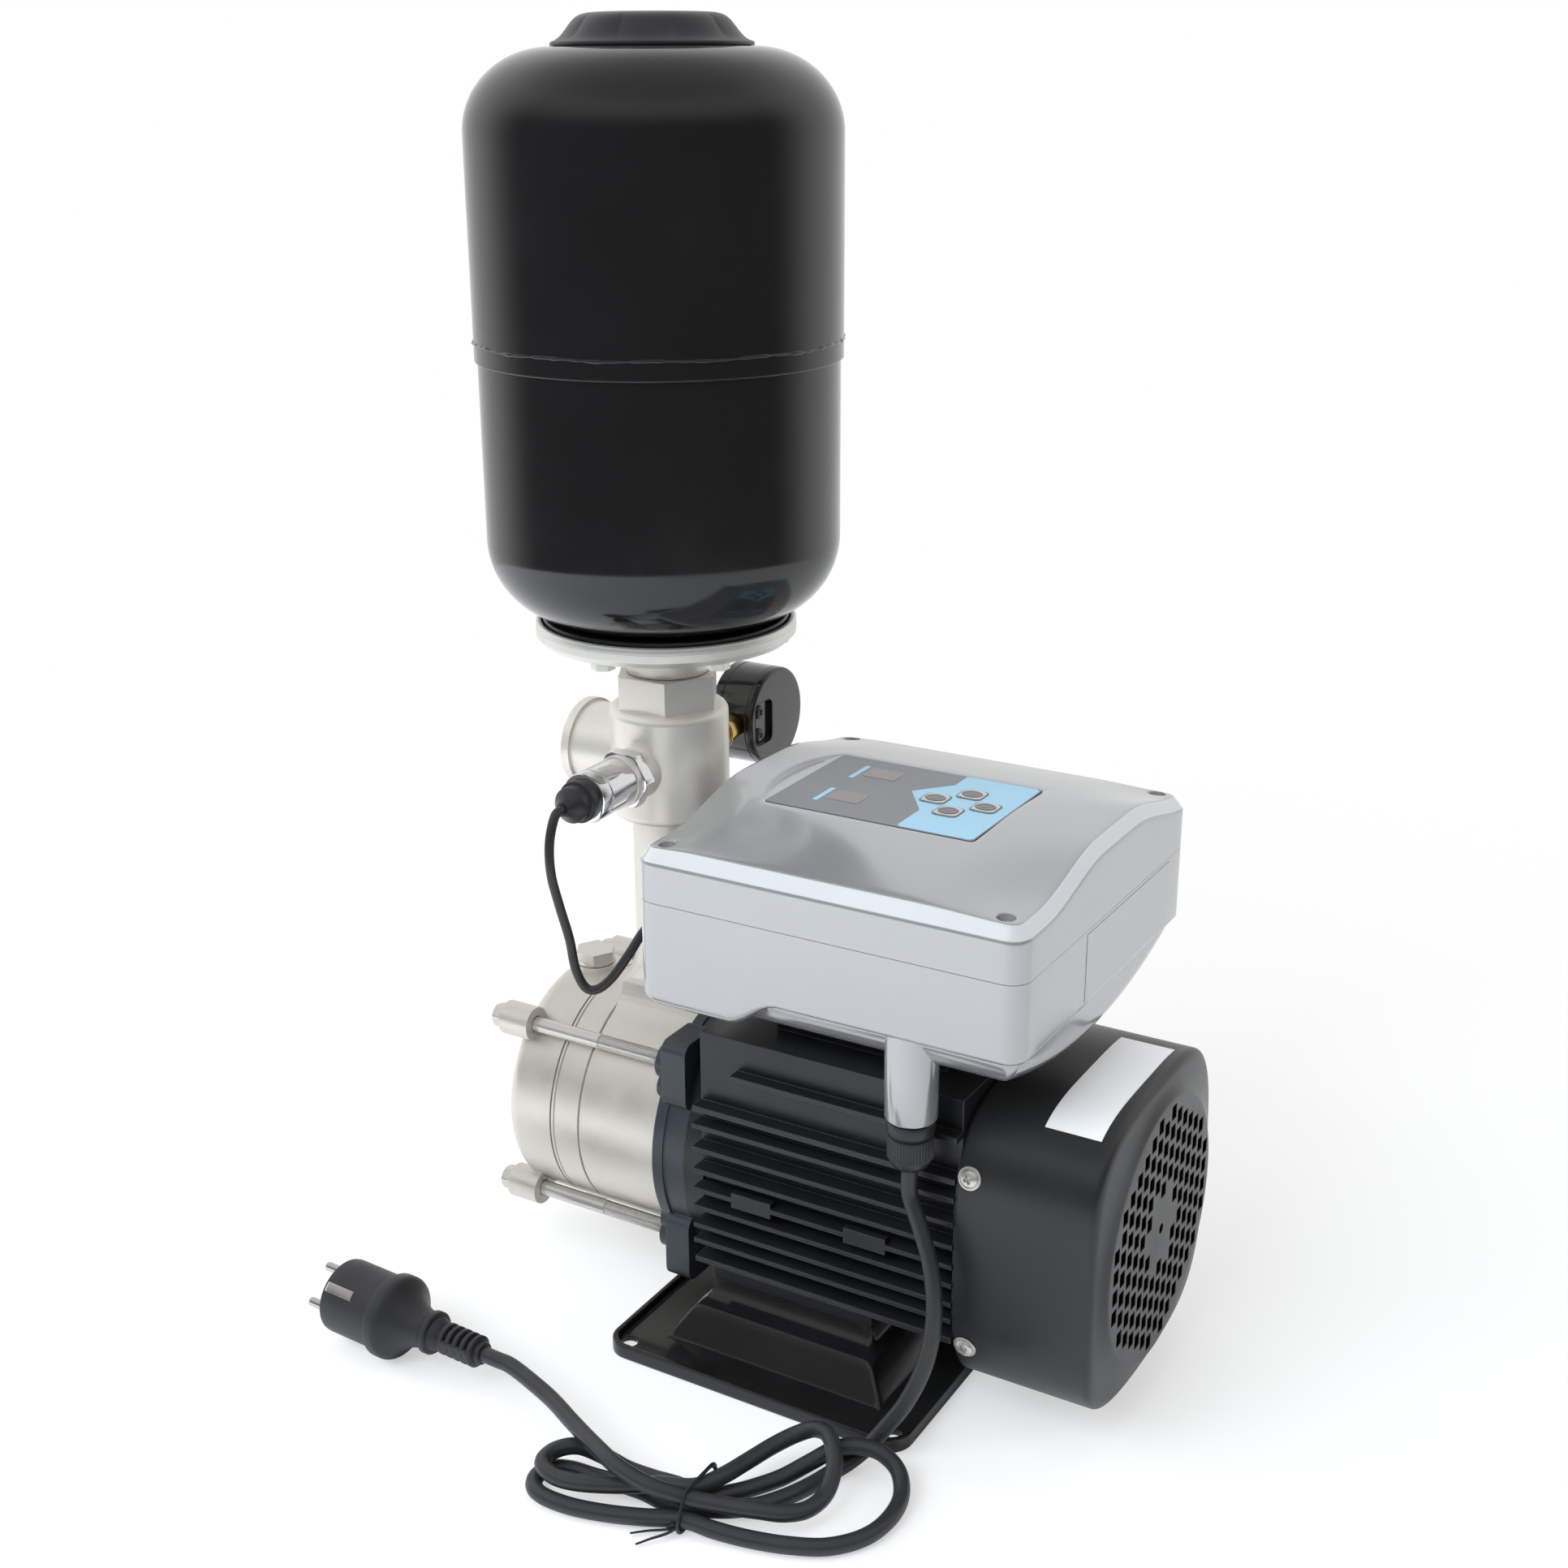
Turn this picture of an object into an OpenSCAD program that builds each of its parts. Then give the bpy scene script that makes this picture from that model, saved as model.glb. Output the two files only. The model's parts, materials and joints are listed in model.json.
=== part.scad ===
// Garden booster pump: a horizontal multistage pump and its motor on a pressed base,
// with a pressure tank on the outlet riser and a speed controller on the motor.
// Millimetres. +Z up, the shaft runs along X with the pump end at -X, and the origin
// is on the floor at the centre of the four base bolt holes.

/* [Base] */
// Length of the base plate along the shaft
base_l = 168; // [150:1:200]
// Width of the base plate across the shaft
base_w = 208; // [190:1:240]
// Thickness of the pressed base sheet
base_sheet = 3; // [2:0.5:4]
// Corner radius of the base plate
base_corner_r = 12; // [8:1:16]
// Height of the rolled rim over the floor
base_rim_h = 7; // [5:0.5:8]
// Width of the rolled rim
base_rim_w = 3; // [2:0.5:4]
// Diameter of the four bolt holes in the base
base_hole_d = 9; // [6:0.5:10]
// Distance of the bolt holes from the plate's ends
base_hole_in_x = 9; // [8:0.5:12]
// Distance of the bolt holes from the plate's sides
base_hole_in_y = 10; // [9:0.5:12]
// Length of the pressed step at the plate
step_l = 122; // [116:1:126]
// Width of the pressed step at the plate
step_w = 160; // [154:1:166]
// Height of the step's top edge over the floor
step_h = 20; // [16:1:24]
// Width of the step's slope at its ends
step_run_x = 11; // [8:1:14]
// Width of the step's slope along its sides
step_run_y = 10; // [8:1:14]
// Length of the saddle that carries the motor
saddle_l = 90; // [84:1:96]
// Width of the saddle that carries the motor
saddle_w = 116; // [112:1:120]

/* [Motor] */
// Height of the shaft axis over the floor
axis_h = 91.5; // [88:0.5:96]
// Depth of the motor's foot under the shaft axis
foot_drop = 60; // [58:0.5:62]
// Length of the motor housing
motor_l = 152; // [148:1:160]
// Half width of the motor housing's square barrel
barrel_half = 60; // [58:0.5:62]
// Corner radius of the square barrel
barrel_r = 34; // [28:1:40]
// Outer radius of the stator core
stator_r = 53; // [50:0.5:54]
// Bore radius of the stator core
stator_bore_r = 28; // [26:0.5:30]
// Length of the stator core
stator_l = 70; // [60:1:80]
// Thickness of a cooling fin
fin_t = 2.4; // [1.5:0.1:3]
// Reach of the fin tips from the shaft axis
fin_reach = 75; // [70:0.5:75]
// Half width of the neck that carries the controller
neck_half = 66; // [62:1:68]
// Height of the neck's shoulders over the shaft axis
neck_h = 80; // [76:1:84]

/* [Front bracket and bolts] */
// Radius of the bracket's flange
bracket_r = 68; // [66:0.5:70]
// Length of the bracket from the pump casing to the housing
bracket_l = 18; // [16:0.5:20]
// Distance of the tie bolts from the axis along Y and Z
tie_at = 48.5; // [48.2:0.1:49.5]
// Diameter of the tie bolts
tie_d = 8; // [6:0.5:8]
// Height of the bracket's corner lugs
lug_h = 36; // [30:1:38]
// Width of the bracket's corner lugs
lug_w = 30; // [26:1:32]

/* [Pump] */
// Outer radius of the pump casing
casing_r = 63.5; // [62:0.5:63.5]
// Wall of the pump casing
casing_wall = 3; // [2.5:0.5:3.5]
// Length of the front cover without its inlet
cover_l = 29; // [27:0.5:31]
// Length of the middle sleeve that shows
sleeve_l = 19; // [17:0.5:21]
// Length of the discharge casing
discharge_l = 48; // [46:0.5:50]
// Number of pump stages
stage_count = 3; // [2:1:3]
// Length of one stage
stage_pitch = 17; // [16:0.5:17.5]
// Outer radius of a stage chamber
chamber_r = 52; // [50:0.5:54]
// Outer radius of an impeller
impeller_r = 45; // [42:0.5:46]
// Radius of the impeller's eye
eye_r = 16; // [14:0.5:18]
// Number of vanes on an impeller
vane_count = 6; // [4:1:7]
// Number of guide vanes behind a stage
guide_count = 8; // [6:1:10]
// Wall radius of the G1 pipe threads
port_r = 15.15; // [12:0.05:16]
// Radius of the inlet boss
inlet_boss_r = 24; // [20:0.5:26]
// Reach of the inlet boss in front of the cover
inlet_reach = 18; // [12:1:22]

/* [Shaft] */
// Radius of the shaft at the impellers
shaft_wet_r = 6; // [5.5:0.1:6.5]
// Radius of the shaft at the seal
shaft_seal_r = 7; // [6.8:0.1:7.2]
// Radius of the shaft at its bearings
journal_r = 7.5; // [7.5:0.1:8]
// Radius of the shaft in the rotor
rotor_shaft_r = 10; // [9:0.5:12]
// Outer radius of the ball bearings
bearing_r = 17.5; // [16.5:0.5:18]
// Width of the ball bearings
bearing_w = 11; // [9:0.5:12]
// Diameter of the bearing balls
ball_d = 4.2; // [3.5:0.1:4.6]
// Number of balls in a bearing
ball_count = 8; // [6:1:9]
// Radius of the cooling fan
fan_r = 62; // [54:1:66]
// Length of the cooling fan's blades
fan_blade_l = 20; // [14:1:24]
// Number of the cooling fan's blades
fan_blades = 9; // [6:1:11]

/* [Fan cover] */
// Length of the fan cover
cover_len = 71; // [62:0.5:74]
// Half width of the square fan cover
cover_half = 75.5; // [74:0.5:78]
// Squareness of the fan cover's outline, as the power of its superellipse
cover_power = 3.8; // [3:0.1:6]
// Lift of the fan cover's centre over the shaft axis
cover_lift = 1.5; // [0:0.1:2]
// Thickness of the fan cover's sheet
cover_sheet = 1.5; // [1:0.1:2]
// Depth of the sloped edge round the fan cover's face
cover_edge = 8; // [3:0.5:10]
// Radius of the round grille
grille_r = 63; // [50:1:66]
// Radius of the grille's plain middle
grille_mid_r = 19; // [14:1:24]
// Spacing of the grille's holes
grille_pitch = 9; // [8:0.5:12]
// Width of a grille bar
grille_bar = 3; // [2:0.25:4]

/* [Riser and fittings] */
// Distance from the origin to the riser, towards the pump end
riser_back = 105; // [103:0.5:106]
// Outer radius of the riser
riser_r = 19.5; // [18:0.5:21]
// Bore radius of the riser
riser_bore_r = 16; // [14.5:0.5:16.5]
// Height of the riser's top over the shaft axis
riser_h = 162.5; // [155:0.5:170]
// Radius of the five-way body
fitting_r = 30; // [28:0.5:31]
// Height of the five-way body without its hexagon
fitting_h = 57; // [54:0.5:60]
// Width across flats of the body's hexagon
fitting_af = 47; // [44:0.5:50]
// Height of the body's hexagon
fitting_hex_h = 17; // [14:0.5:20]
// Outer radius of the outlet stub
outlet_r = 21.5; // [20:0.5:23]
// Reach of the outlet stub from the riser's axis
outlet_reach = 51; // [46:0.5:56]
// Lift of the check valve
valve_lift = 6; // [4:0.5:8]

/* [Gauge and sensor] */
// Radius of the gauge's case
gauge_r = 26.5; // [22:0.5:28]
// Depth of the gauge's case
gauge_depth = 26; // [22:0.5:28]
// Distance of the gauge's centre from the riser's axis
gauge_out = 84; // [82:0.5:90]
// Radius of the sensor's sleeve
sensor_r = 11.5; // [10:0.5:12]
// Length of the sensor's sleeve
sensor_l = 19.5; // [18:0.5:26]

/* [Tank] */
// Outer radius of the tank
tank_r = 86.8; // [80:0.1:88]
// Wall of the tank's shells
tank_wall = 1.3; // [1:0.1:2]
// Height of the tank's shells
tank_h = 269; // [240:1:280]
// Height of the tank's bottom corner
tank_bottom_h = 39; // [32:1:44]
// Height of the tank's top corner
tank_top_h = 37; // [32:1:44]
// Height of the shells' seam over the tank's bottom
tank_seam = 128.5; // [105:0.5:140]
// Outer radius of the tank's flange
flange_r = 64; // [62:0.5:66]
// Number of the flange's bolts
flange_bolt_count = 6; // [4:1:8]
// Radius of the tank's cap at its rim
cap_r = 46; // [40:1:50]
// Height of the tank's cap
cap_h = 14; // [12:0.5:18]

/* [Controller] */
// Length of the controller's box
box_l = 195.5; // [180:0.5:200]
// Width of the controller's box
box_w = 196; // [190:1:204]
// Corner radius of the controller's box
box_r = 10; // [8:1:20]
// Wall of the controller's box
box_wall = 3; // [2.5:0.25:3.5]
// Height of the box's seam over the shaft axis
box_seam = 157.5; // [155:0.5:162]
// Height of the lid's edge over the seam
lid_edge_h = 25.5; // [20:0.5:28]
// Rise of the lid's crown over its edge
lid_crown = 12; // [10:0.5:14]
// Width of the bevel round the lid
lid_bevel = 4.5; // [3:0.5:6]
// Depth of the box's skirt under the seam
skirt_h = 38; // [34:0.5:42]
// Extra depth of the skirt at the pump end
skirt_drop = 15; // [12:0.5:18]
// Length of the keypad's panel
panel_l = 108; // [104:1:116]
// Width of the keypad's panel
panel_w = 78; // [70:1:80]
// Width of a key
key_w = 11; // [9:0.5:12]
// Spacing of the keys across the panel's corners
key_ring_r = 13; // [12:0.5:15]

/* [Cords and plug] */
// Diameter of the mains cord
cord_d = 7.8; // [6.5:0.1:8]
// Diameter of the sensor's cord
sensor_cord_d = 4.6; // [3.5:0.1:5]
// Diameter of the plug's collar
plug_collar_d = 42.8; // [38:0.2:43]
// Diameter of the plug's front
plug_front_d = 38; // [34:0.5:40]
// Spacing of the plug's pins
pin_pitch = 19; // [17:0.5:20]
// Diameter of the plug's pins
pin_d = 4.8; // [4:0.1:5]
// Length of the plug's pins
pin_l = 19; // [16:0.5:20]

/* [Hidden] */
$fn = 48;
hull_fn = 32;
over = 1;
fit = 0.05;
gap = 0.3;
joint_gap = 0.1;
facet_step = 5;

// Places along the shaft
motor_x0 = -58;
motor_x1 = motor_x0 + motor_l;
casing_x1 = motor_x0 - bracket_l;
casing_x0 = casing_x1 - discharge_l;
sleeve_x0 = casing_x0 - sleeve_l;
cover_x0 = sleeve_x0 - cover_l;
cover_wall = 4;
riser_x = -riser_back;
rear_plate_t = 5;
rear_rim_l = 14;
front_journal = motor_x0 - bearing_w - over;
rear_journal = motor_x1 - bearing_w;
bracket_wall = 4;
stator_x0 = motor_x0 + (motor_l - stator_l) / 2 - 9;
cover_x = motor_x1 + 2;
face_x = cover_x + cover_len;
rear_wall_x = casing_x1 - cover_wall;
suction_l = 10;
stack_x0 = cover_x0 + cover_wall + suction_l;
stack_x1 = stack_x0 + stage_count * stage_pitch;

function arc(cx, cy, r, a0, a1, n) =
    [for (i = [0 : n]) [cx + r * cos(a0 + (a1 - a0) * i / n), cy + r * sin(a0 + (a1 - a0) * i / n)]];
function ellipse_arc(cx, cy, rx, ry, a0, a1, n) =
    [for (i = [0 : n]) [cx + rx * cos(a0 + (a1 - a0) * i / n), cy + ry * sin(a0 + (a1 - a0) * i / n)]];
function flip(points) = [for (i = [len(points) - 1 : -1 : 0]) [-points[i][0], points[i][1]]];

module at_axis() {
    translate([0, 0, axis_h]) children();
}

module along_x(x0) {
    translate([x0, 0, 0]) rotate([0, 90, 0]) children();
}

module rod_x(x0, x1, r) {
    along_x(x0) cylinder(h = x1 - x0, r = r);
}

module tube_x(x0, x1, r, bore) {
    difference() {
        rod_x(x0, x1, r);
        rod_x(x0 - over, x1 + over, bore);
    }
}

// Turns a profile of [radius, x] points about the shaft axis
module turn_x(points) {
    rotate([0, 90, 0]) rotate_extrude() polygon(points);
}

// Extrudes a flat [y, z] shape along the shaft
module slab_x(x0, x1) {
    translate([x0, 0, 0]) rotate([90, 0, 90]) linear_extrude(x1 - x0) children();
}

module round_square(l, w, r) {
    square([l - 2 * r, w], center = true);
    square([l, w - 2 * r], center = true);
    for (sx = [-1, 1], sy = [-1, 1]) translate([sx * (l / 2 - r), sy * (w / 2 - r)]) circle(r);
}

module hex_rod(h, af) {
    cylinder(h = h, r = af / sqrt(3), $fn = 6);
}

// Base: plate, rolled rim and the pressed step with its saddle
function flank(foot, top, crest, lift, drop) =
    concat(
        [[foot - drop, -drop], [foot - drop, base_sheet - drop], [top - drop, step_h - drop]],
        [for (i = [1 : 8]) [
            top - drop - (top - crest) * sin(i * 90 / 8),
            step_h - drop + (lift - step_h) * (1 - cos(i * 90 / 8))
        ]]
    );
function press_profile(foot, run, crest, lift, drop) =
    concat(flank(foot / 2, foot / 2 - run, crest / 2, lift, drop),
        flip(flank(foot / 2, foot / 2 - run, crest / 2, lift, drop)));

saddle_top = axis_h - foot_drop - fit;

module pressing(drop) {
    intersection() {
        translate([-base_l / 2, 0, 0]) rotate([90, 0, 90]) linear_extrude(base_l)
            polygon(press_profile(step_w, step_run_y, saddle_w, saddle_top, drop));
        translate([0, base_w / 2, 0]) rotate([90, 0, 0]) linear_extrude(base_w)
            polygon(press_profile(step_l, step_run_x, saddle_l, saddle_top, drop));
    }
}

module base_plate() color("#15161a") difference() {
    union() {
        linear_extrude(base_sheet) round_square(base_l, base_w, base_corner_r);
        linear_extrude(base_rim_h) difference() {
            round_square(base_l, base_w, base_corner_r);
            round_square(base_l - 2 * base_rim_w, base_w - 2 * base_rim_w, base_corner_r - base_rim_w);
        }
        pressing(0);
    }
    pressing(base_sheet);
    for (sx = [-1, 1], sy = [-1, 1])
        translate([sx * (base_l / 2 - base_hole_in_x), sy * (base_w / 2 - base_hole_in_y), -over])
            cylinder(h = base_sheet + 2 * over, d = base_hole_d);
}

// Motor housing with its fins, ledges and neck
fin_shares = [0.55, 0.34, 0.14, -0.035, -0.2, -0.37, -0.515];
ledge_t = 3;
ledge_shares = [0.7, -0.7];
shelf_share = 1.02;
shelf_lead = 32;
pad_l = 22;
pad_h = 8;
pad_inset = 2;
foot_rail_w = 22;
platform_half = 45;
platform_top = box_seam - skirt_h - 32;
platform_l = 90;
fin_inset = 11;

module motor_housing() color("#1b1c1f") at_axis() difference() {
    union() {
        slab_x(motor_x0, motor_x1) round_square(2 * barrel_half, 2 * barrel_half, barrel_r);
        rod_x(motor_x0, motor_x0 + fin_inset + over, bracket_r - over);
        slab_x(motor_x0 + fin_inset, motor_x1) {
            for (share = fin_shares) translate([-fin_reach, barrel_half * share - fin_t / 2])
                square([2 * fin_reach, fin_t]);
            for (share = ledge_shares) translate([-fin_reach + over, barrel_half * share - ledge_t / 2])
                square([2 * fin_reach - 2 * over, ledge_t]);
        }
        slab_x(motor_x0 + shelf_lead, motor_x1) translate([-fin_reach + 2 * over, barrel_half * shelf_share])
            square([2 * fin_reach - 4 * over, ledge_t]);
        slab_x(motor_x0 + fin_inset, motor_x1) translate([-neck_half, 0]) square([2 * neck_half, neck_h]);
        translate([-motor_x0 / 2 - platform_l / 2, -platform_half, 0])
            cube([platform_l, 2 * platform_half, platform_top]);
        for (side = [-1, 1]) {
            slab_x(-saddle_l / 2, saddle_l / 2) translate([side * (barrel_half - foot_rail_w / 2), -foot_drop / 2])
                square([foot_rail_w, foot_drop], center = true);
            for (x = [motor_x0 + motor_l * 0.29, motor_x0 + motor_l * 0.7])
                translate([x - pad_l / 2, side * (fin_reach - pad_inset) - pad_inset, barrel_half * fin_shares[3] - pad_h / 2])
                    cube([pad_l, 2 * pad_inset, pad_h]);
        }
    }
    rod_x(motor_x0 - over, motor_x1 + over, stator_r + fit);
}

// Stator: slotted core, and windings that fill the slots and stand out at both ends
slot_count = 24;
slot_w = 4;
slot_in = 4;
slot_deep = 12;
winding_over = 16;
winding_in = 3;

module stator_slots(inset) {
    for (i = [0 : slot_count - 1]) rotate([0, 0, i * 360 / slot_count])
        translate([stator_bore_r + slot_in + inset, -slot_w / 2 + inset]) square([slot_deep - 2 * inset, slot_w - 2 * inset]);
}

module stator_core() color("#8f9094") at_axis() along_x(stator_x0) linear_extrude(stator_l) difference() {
    circle(stator_r);
    circle(stator_bore_r);
    stator_slots(0);
}

module stator_windings() color("#b06a33") at_axis() {
    along_x(stator_x0 - over) linear_extrude(stator_l + 2 * over) stator_slots(joint_gap);
    for (x = [stator_x0 - winding_over, stator_x0 + stator_l])
        tube_x(x, x + winding_over, stator_bore_r + slot_in + slot_deep + winding_in, stator_bore_r + slot_in);
}

// Front bracket: pump flange, bearing seat and the four lugs of the tie bolts
lug_lead = 4;
lug_boss_r = 9;
lug_boss_drop = 11;
lug_r = 6;
flange_lip = 6;
tie_end = motor_x0 - 8;
bracket_pocket_r = 26;
journal_hole_r = 9;

module lugs(x0, x1, w, h, r) {
    slab_x(x0, x1) for (sy = [-1, 1], sz = [-1, 1])
        translate([sy * tie_at, sz * tie_at]) round_square(w, h, r);
}

module front_bracket() color("#1d1e21") at_axis() difference() {
    union() {
        rod_x(casing_x1, casing_x1 + flange_lip, bracket_r);
        rod_x(casing_x1, motor_x0, bracket_r - over);
        lugs(casing_x1 + lug_lead, motor_x0, lug_w, lug_h, lug_r);
        difference() {
            for (sy = [-1, 1], sz = [-1, 1], drop = [0, 1])
                translate([0, sy * (tie_at + drop * lug_boss_drop / 3), sz * (tie_at - drop * lug_boss_drop)])
                    rod_x(casing_x1 - lug_lead + drop * 2, casing_x1 + lug_lead + over, lug_boss_r - 2 * drop);
            rod_x(casing_x1 - lug_lead - over, casing_x1, casing_r + gap);
        }
    }
    for (sy = [-1, 1], sz = [-1, 1]) translate([0, sy * tie_at, sz * tie_at])
        rod_x(casing_x1 - lug_lead - over, tie_end + over, tie_d / 2 + fit);
    rod_x(casing_x1 - over, motor_x0 + over, journal_hole_r);
    rod_x(front_journal, motor_x0 + over, bearing_r + fit);
    tube_x(casing_x1 + bracket_wall, motor_x0 + over, stator_r, bracket_pocket_r);
}

// Rear endshield: bearing seat, plate and the rim that the fan cover slides over
cover_screw_x = cover_x + 5;
cover_screw_at = 44.5;
cover_steps = 18;
cover_screw_r = 2;
rear_rim_t = 4;
rear_hub_r = 23;
rear_half = cover_half - cover_sheet - joint_gap;

// Puts a cover screw square on the curved side of the cover
module at_cover_screws(half) {
    side_y = half * pow(1 - pow(cover_screw_at / half, cover_power), 1 / cover_power);
    lean = atan(pow(cover_screw_at / side_y, cover_power - 1));
    for (side = [-1, 1], sz = [-1, 1]) translate([cover_screw_x, side * side_y, cover_lift + sz * cover_screw_at])
        rotate([-side * (90 - sz * lean), 0, 0]) children();
}

function signed_power(v, p) = sign(v) * pow(abs(v), p);
function cover_outline(half) = [for (i = [0 : 4 * cover_steps - 1]) let (a = i * 90 / cover_steps)
    [half * signed_power(cos(a), 2 / cover_power), cover_lift + half * signed_power(sin(a), 2 / cover_power)]];

module rear_endshield() color("#202124") at_axis() difference() {
    union() {
        slab_x(motor_x1, motor_x1 + rear_plate_t) polygon(cover_outline(rear_half));
        slab_x(motor_x1, motor_x1 + rear_rim_l) difference() {
            polygon(cover_outline(rear_half));
            polygon(cover_outline(rear_half - rear_rim_t));
        }
        rod_x(rear_journal - over, motor_x1 + over, rear_hub_r);
    }
    rod_x(rear_journal - 2 * over, motor_x1, bearing_r + fit);
    rod_x(motor_x1 - over, motor_x1 + rear_plate_t + over, journal_hole_r);
    at_cover_screws(cover_half) translate([0, 0, -rear_rim_t - 3 * over])
        cylinder(h = rear_rim_t + 4 * over, r = cover_screw_r + fit);
}

// Ball bearings
ring_t = 2.8;
race_r = (journal_r + ring_t + bearing_r - ring_t) / 2;

module bearings(r, bore) {
    for (x = [front_journal, rear_journal]) tube_x(x, x + bearing_w, r, bore);
}

module bearing_outer_rings() color("#b9bcc2") at_axis()
    bearings(bearing_r, race_r + ball_d / 2 + fit);

module bearing_inner_rings() color("#c5c8ce") at_axis()
    bearings(race_r - ball_d / 2 - fit, journal_r);

module bearing_balls() color("#d7dade") at_axis()
    for (x = [front_journal, rear_journal], i = [0 : ball_count - 1])
        rotate([i * 360 / ball_count, 0, 0]) translate([x + bearing_w / 2, race_r, 0]) sphere(d = ball_d);

// Shaft, stepped from the impeller end to the fan end
shaft_tip_r = 4;
shaft_tip_l = 9;
fan_seat_r = 6;
fan_x = motor_x1 + 15;
fan_hub_l = 16;
shaft_x0 = stack_x0 + over - shaft_tip_l;
shaft_x1 = fan_x + fan_hub_l + over;
seal_l = 16;
seal_x = rear_wall_x - 2;
journal_step_r = 9;
journal_step_l = 12;

module shaft() color("#a9adb3") at_axis() turn_x([
    [0, shaft_x0],
    [shaft_tip_r, shaft_x0],
    [shaft_tip_r, shaft_x0 + shaft_tip_l],
    [shaft_wet_r, shaft_x0 + shaft_tip_l],
    [shaft_wet_r, stack_x1 + over],
    [shaft_seal_r, stack_x1 + over],
    [shaft_seal_r, front_journal],
    [journal_r, front_journal],
    [journal_r, front_journal + bearing_w],
    [journal_step_r, front_journal + bearing_w],
    [journal_step_r, stator_x0 - journal_step_l],
    [rotor_shaft_r, stator_x0 - journal_step_l],
    [rotor_shaft_r, stator_x0 + stator_l + journal_step_l],
    [journal_step_r, stator_x0 + stator_l + journal_step_l],
    [journal_step_r, rear_journal],
    [journal_r, rear_journal],
    [journal_r, motor_x1 + over],
    [fan_seat_r, motor_x1 + over],
    [fan_seat_r, shaft_x1],
    [0, shaft_x1]
]);

air_gap = 0.4;
cage_ring_l = 7;
cage_ring_inset = 2;

module rotor_core() color("#9a9ca1") at_axis() {
    tube_x(stator_x0, stator_x0 + stator_l, stator_bore_r - air_gap, rotor_shaft_r);
    for (x = [stator_x0 - cage_ring_l, stator_x0 + stator_l])
        tube_x(x, x + cage_ring_l, stator_bore_r - cage_ring_inset, rotor_shaft_r + cage_ring_inset);
}

// Impellers: hub, back shroud, swept vanes and front shroud with its eye ring
hub_r = 9;
shroud_t = 1.2;
eye_ring_t = 1;
eye_gap = 0.5;
plate_t = 1.5;
guide_h = 3;
vane_t = 1.4;
vane_sweep = 75;
vane_steps = 6;
impeller_lead = plate_t + 1.5;
impeller_room = stage_pitch - guide_h - plate_t - impeller_lead - 1.8;

function vane_mid(r0, r1, sweep, k) =
    let (s = k / vane_steps, r = r0 + (r1 - r0) * s, a = sweep * s) [r * cos(a), r * sin(a)];
function vane_side(r0, r1, sweep, k, off) =
    let (
        p = vane_mid(r0, r1, sweep, k),
        q = vane_mid(r0, r1, sweep, k + 0.01) - p,
        n = [-q[1], q[0]] / norm(q)
    ) p + n * off;
function vane_outline(r0, r1, sweep, t) = concat(
    [for (k = [0 : vane_steps]) vane_side(r0, r1, sweep, k, t / 2)],
    [for (k = [vane_steps : -1 : 0]) vane_side(r0, r1, sweep, k, -t / 2)]
);

module impeller() {
    tube_x(over, over + stage_pitch - joint_gap, hub_r, shaft_wet_r);
    tube_x(impeller_lead + impeller_room, impeller_lead + impeller_room + shroud_t, impeller_r, hub_r - over);
    turn_x([
        [eye_r - eye_ring_t, -eye_gap],
        [eye_r, -eye_gap],
        [eye_r, impeller_lead - shroud_t],
        [impeller_r, impeller_lead],
        [impeller_r, impeller_lead + shroud_t],
        [eye_r - eye_ring_t, impeller_lead]
    ]);
    for (i = [0 : vane_count - 1]) rotate([i * 360 / vane_count, 0, 0]) along_x(impeller_lead + shroud_t / 2)
        linear_extrude(impeller_room) polygon(vane_outline(eye_r + over, impeller_r - vane_t, -vane_sweep, vane_t));
}

module impellers() color("#c9c4b4") at_axis()
    for (k = [0 : stage_count - 1]) translate([stack_x0 + k * stage_pitch, 0, 0]) impeller();

nut_af = 13;

module impeller_nut() color("#b4b7bd") at_axis() difference() {
    along_x(stack_x0 + over - shaft_tip_l + over) hex_rod(shaft_tip_l - over, nut_af);
    rod_x(shaft_x0 - over, stack_x0 + 2 * over, shaft_tip_r);
}

// Stage chambers are cups round the impellers; guide vanes close each one
module stage_chambers() color("#b8bbc0") at_axis()
    for (k = [0 : stage_count - 1]) translate([stack_x0 + k * stage_pitch, 0, 0]) {
        tube_x(0, stage_pitch - joint_gap, chamber_r, chamber_r - plate_t);
        tube_x(0, plate_t, chamber_r, eye_r + eye_gap);
    }

guide_plate_inset = 4.5;

module guide_vanes() color("#c4c6ca") at_axis()
    for (k = [0 : stage_count - 1]) translate([stack_x0 + k * stage_pitch, 0, 0]) {
        tube_x(stage_pitch - guide_h - plate_t, stage_pitch - guide_h, chamber_r - plate_t - guide_plate_inset, hub_r + eye_gap);
        for (i = [0 : guide_count - 1]) rotate([i * 360 / guide_count, 0, 0])
            along_x(stage_pitch - guide_h - plate_t) linear_extrude(guide_h + plate_t)
                polygon(vane_outline(eye_r + over, chamber_r - plate_t - gap - vane_t, vane_sweep * 0.6, vane_t));
    }

// Front cover: domed edge, inlet boss, filler and drain bosses, tie bolt lugs
cover_edge_r = 8;
suction_r = 48;
suction_t = 3;
lug_cyl_r = 9;
lug_cyl_x0 = cover_x0 - 6;
lug_cyl_l = 18;
lug_web_w = 15;
plug_x = cover_x0 + 16;
boss_r = 11;
boss_top = casing_r + 3;
plug_hole_r = 6.5;

module plug_boss(side) {
    translate([plug_x, 0, 0]) rotate([side > 0 ? 0 : 180, 0, 0]) children();
}

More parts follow.
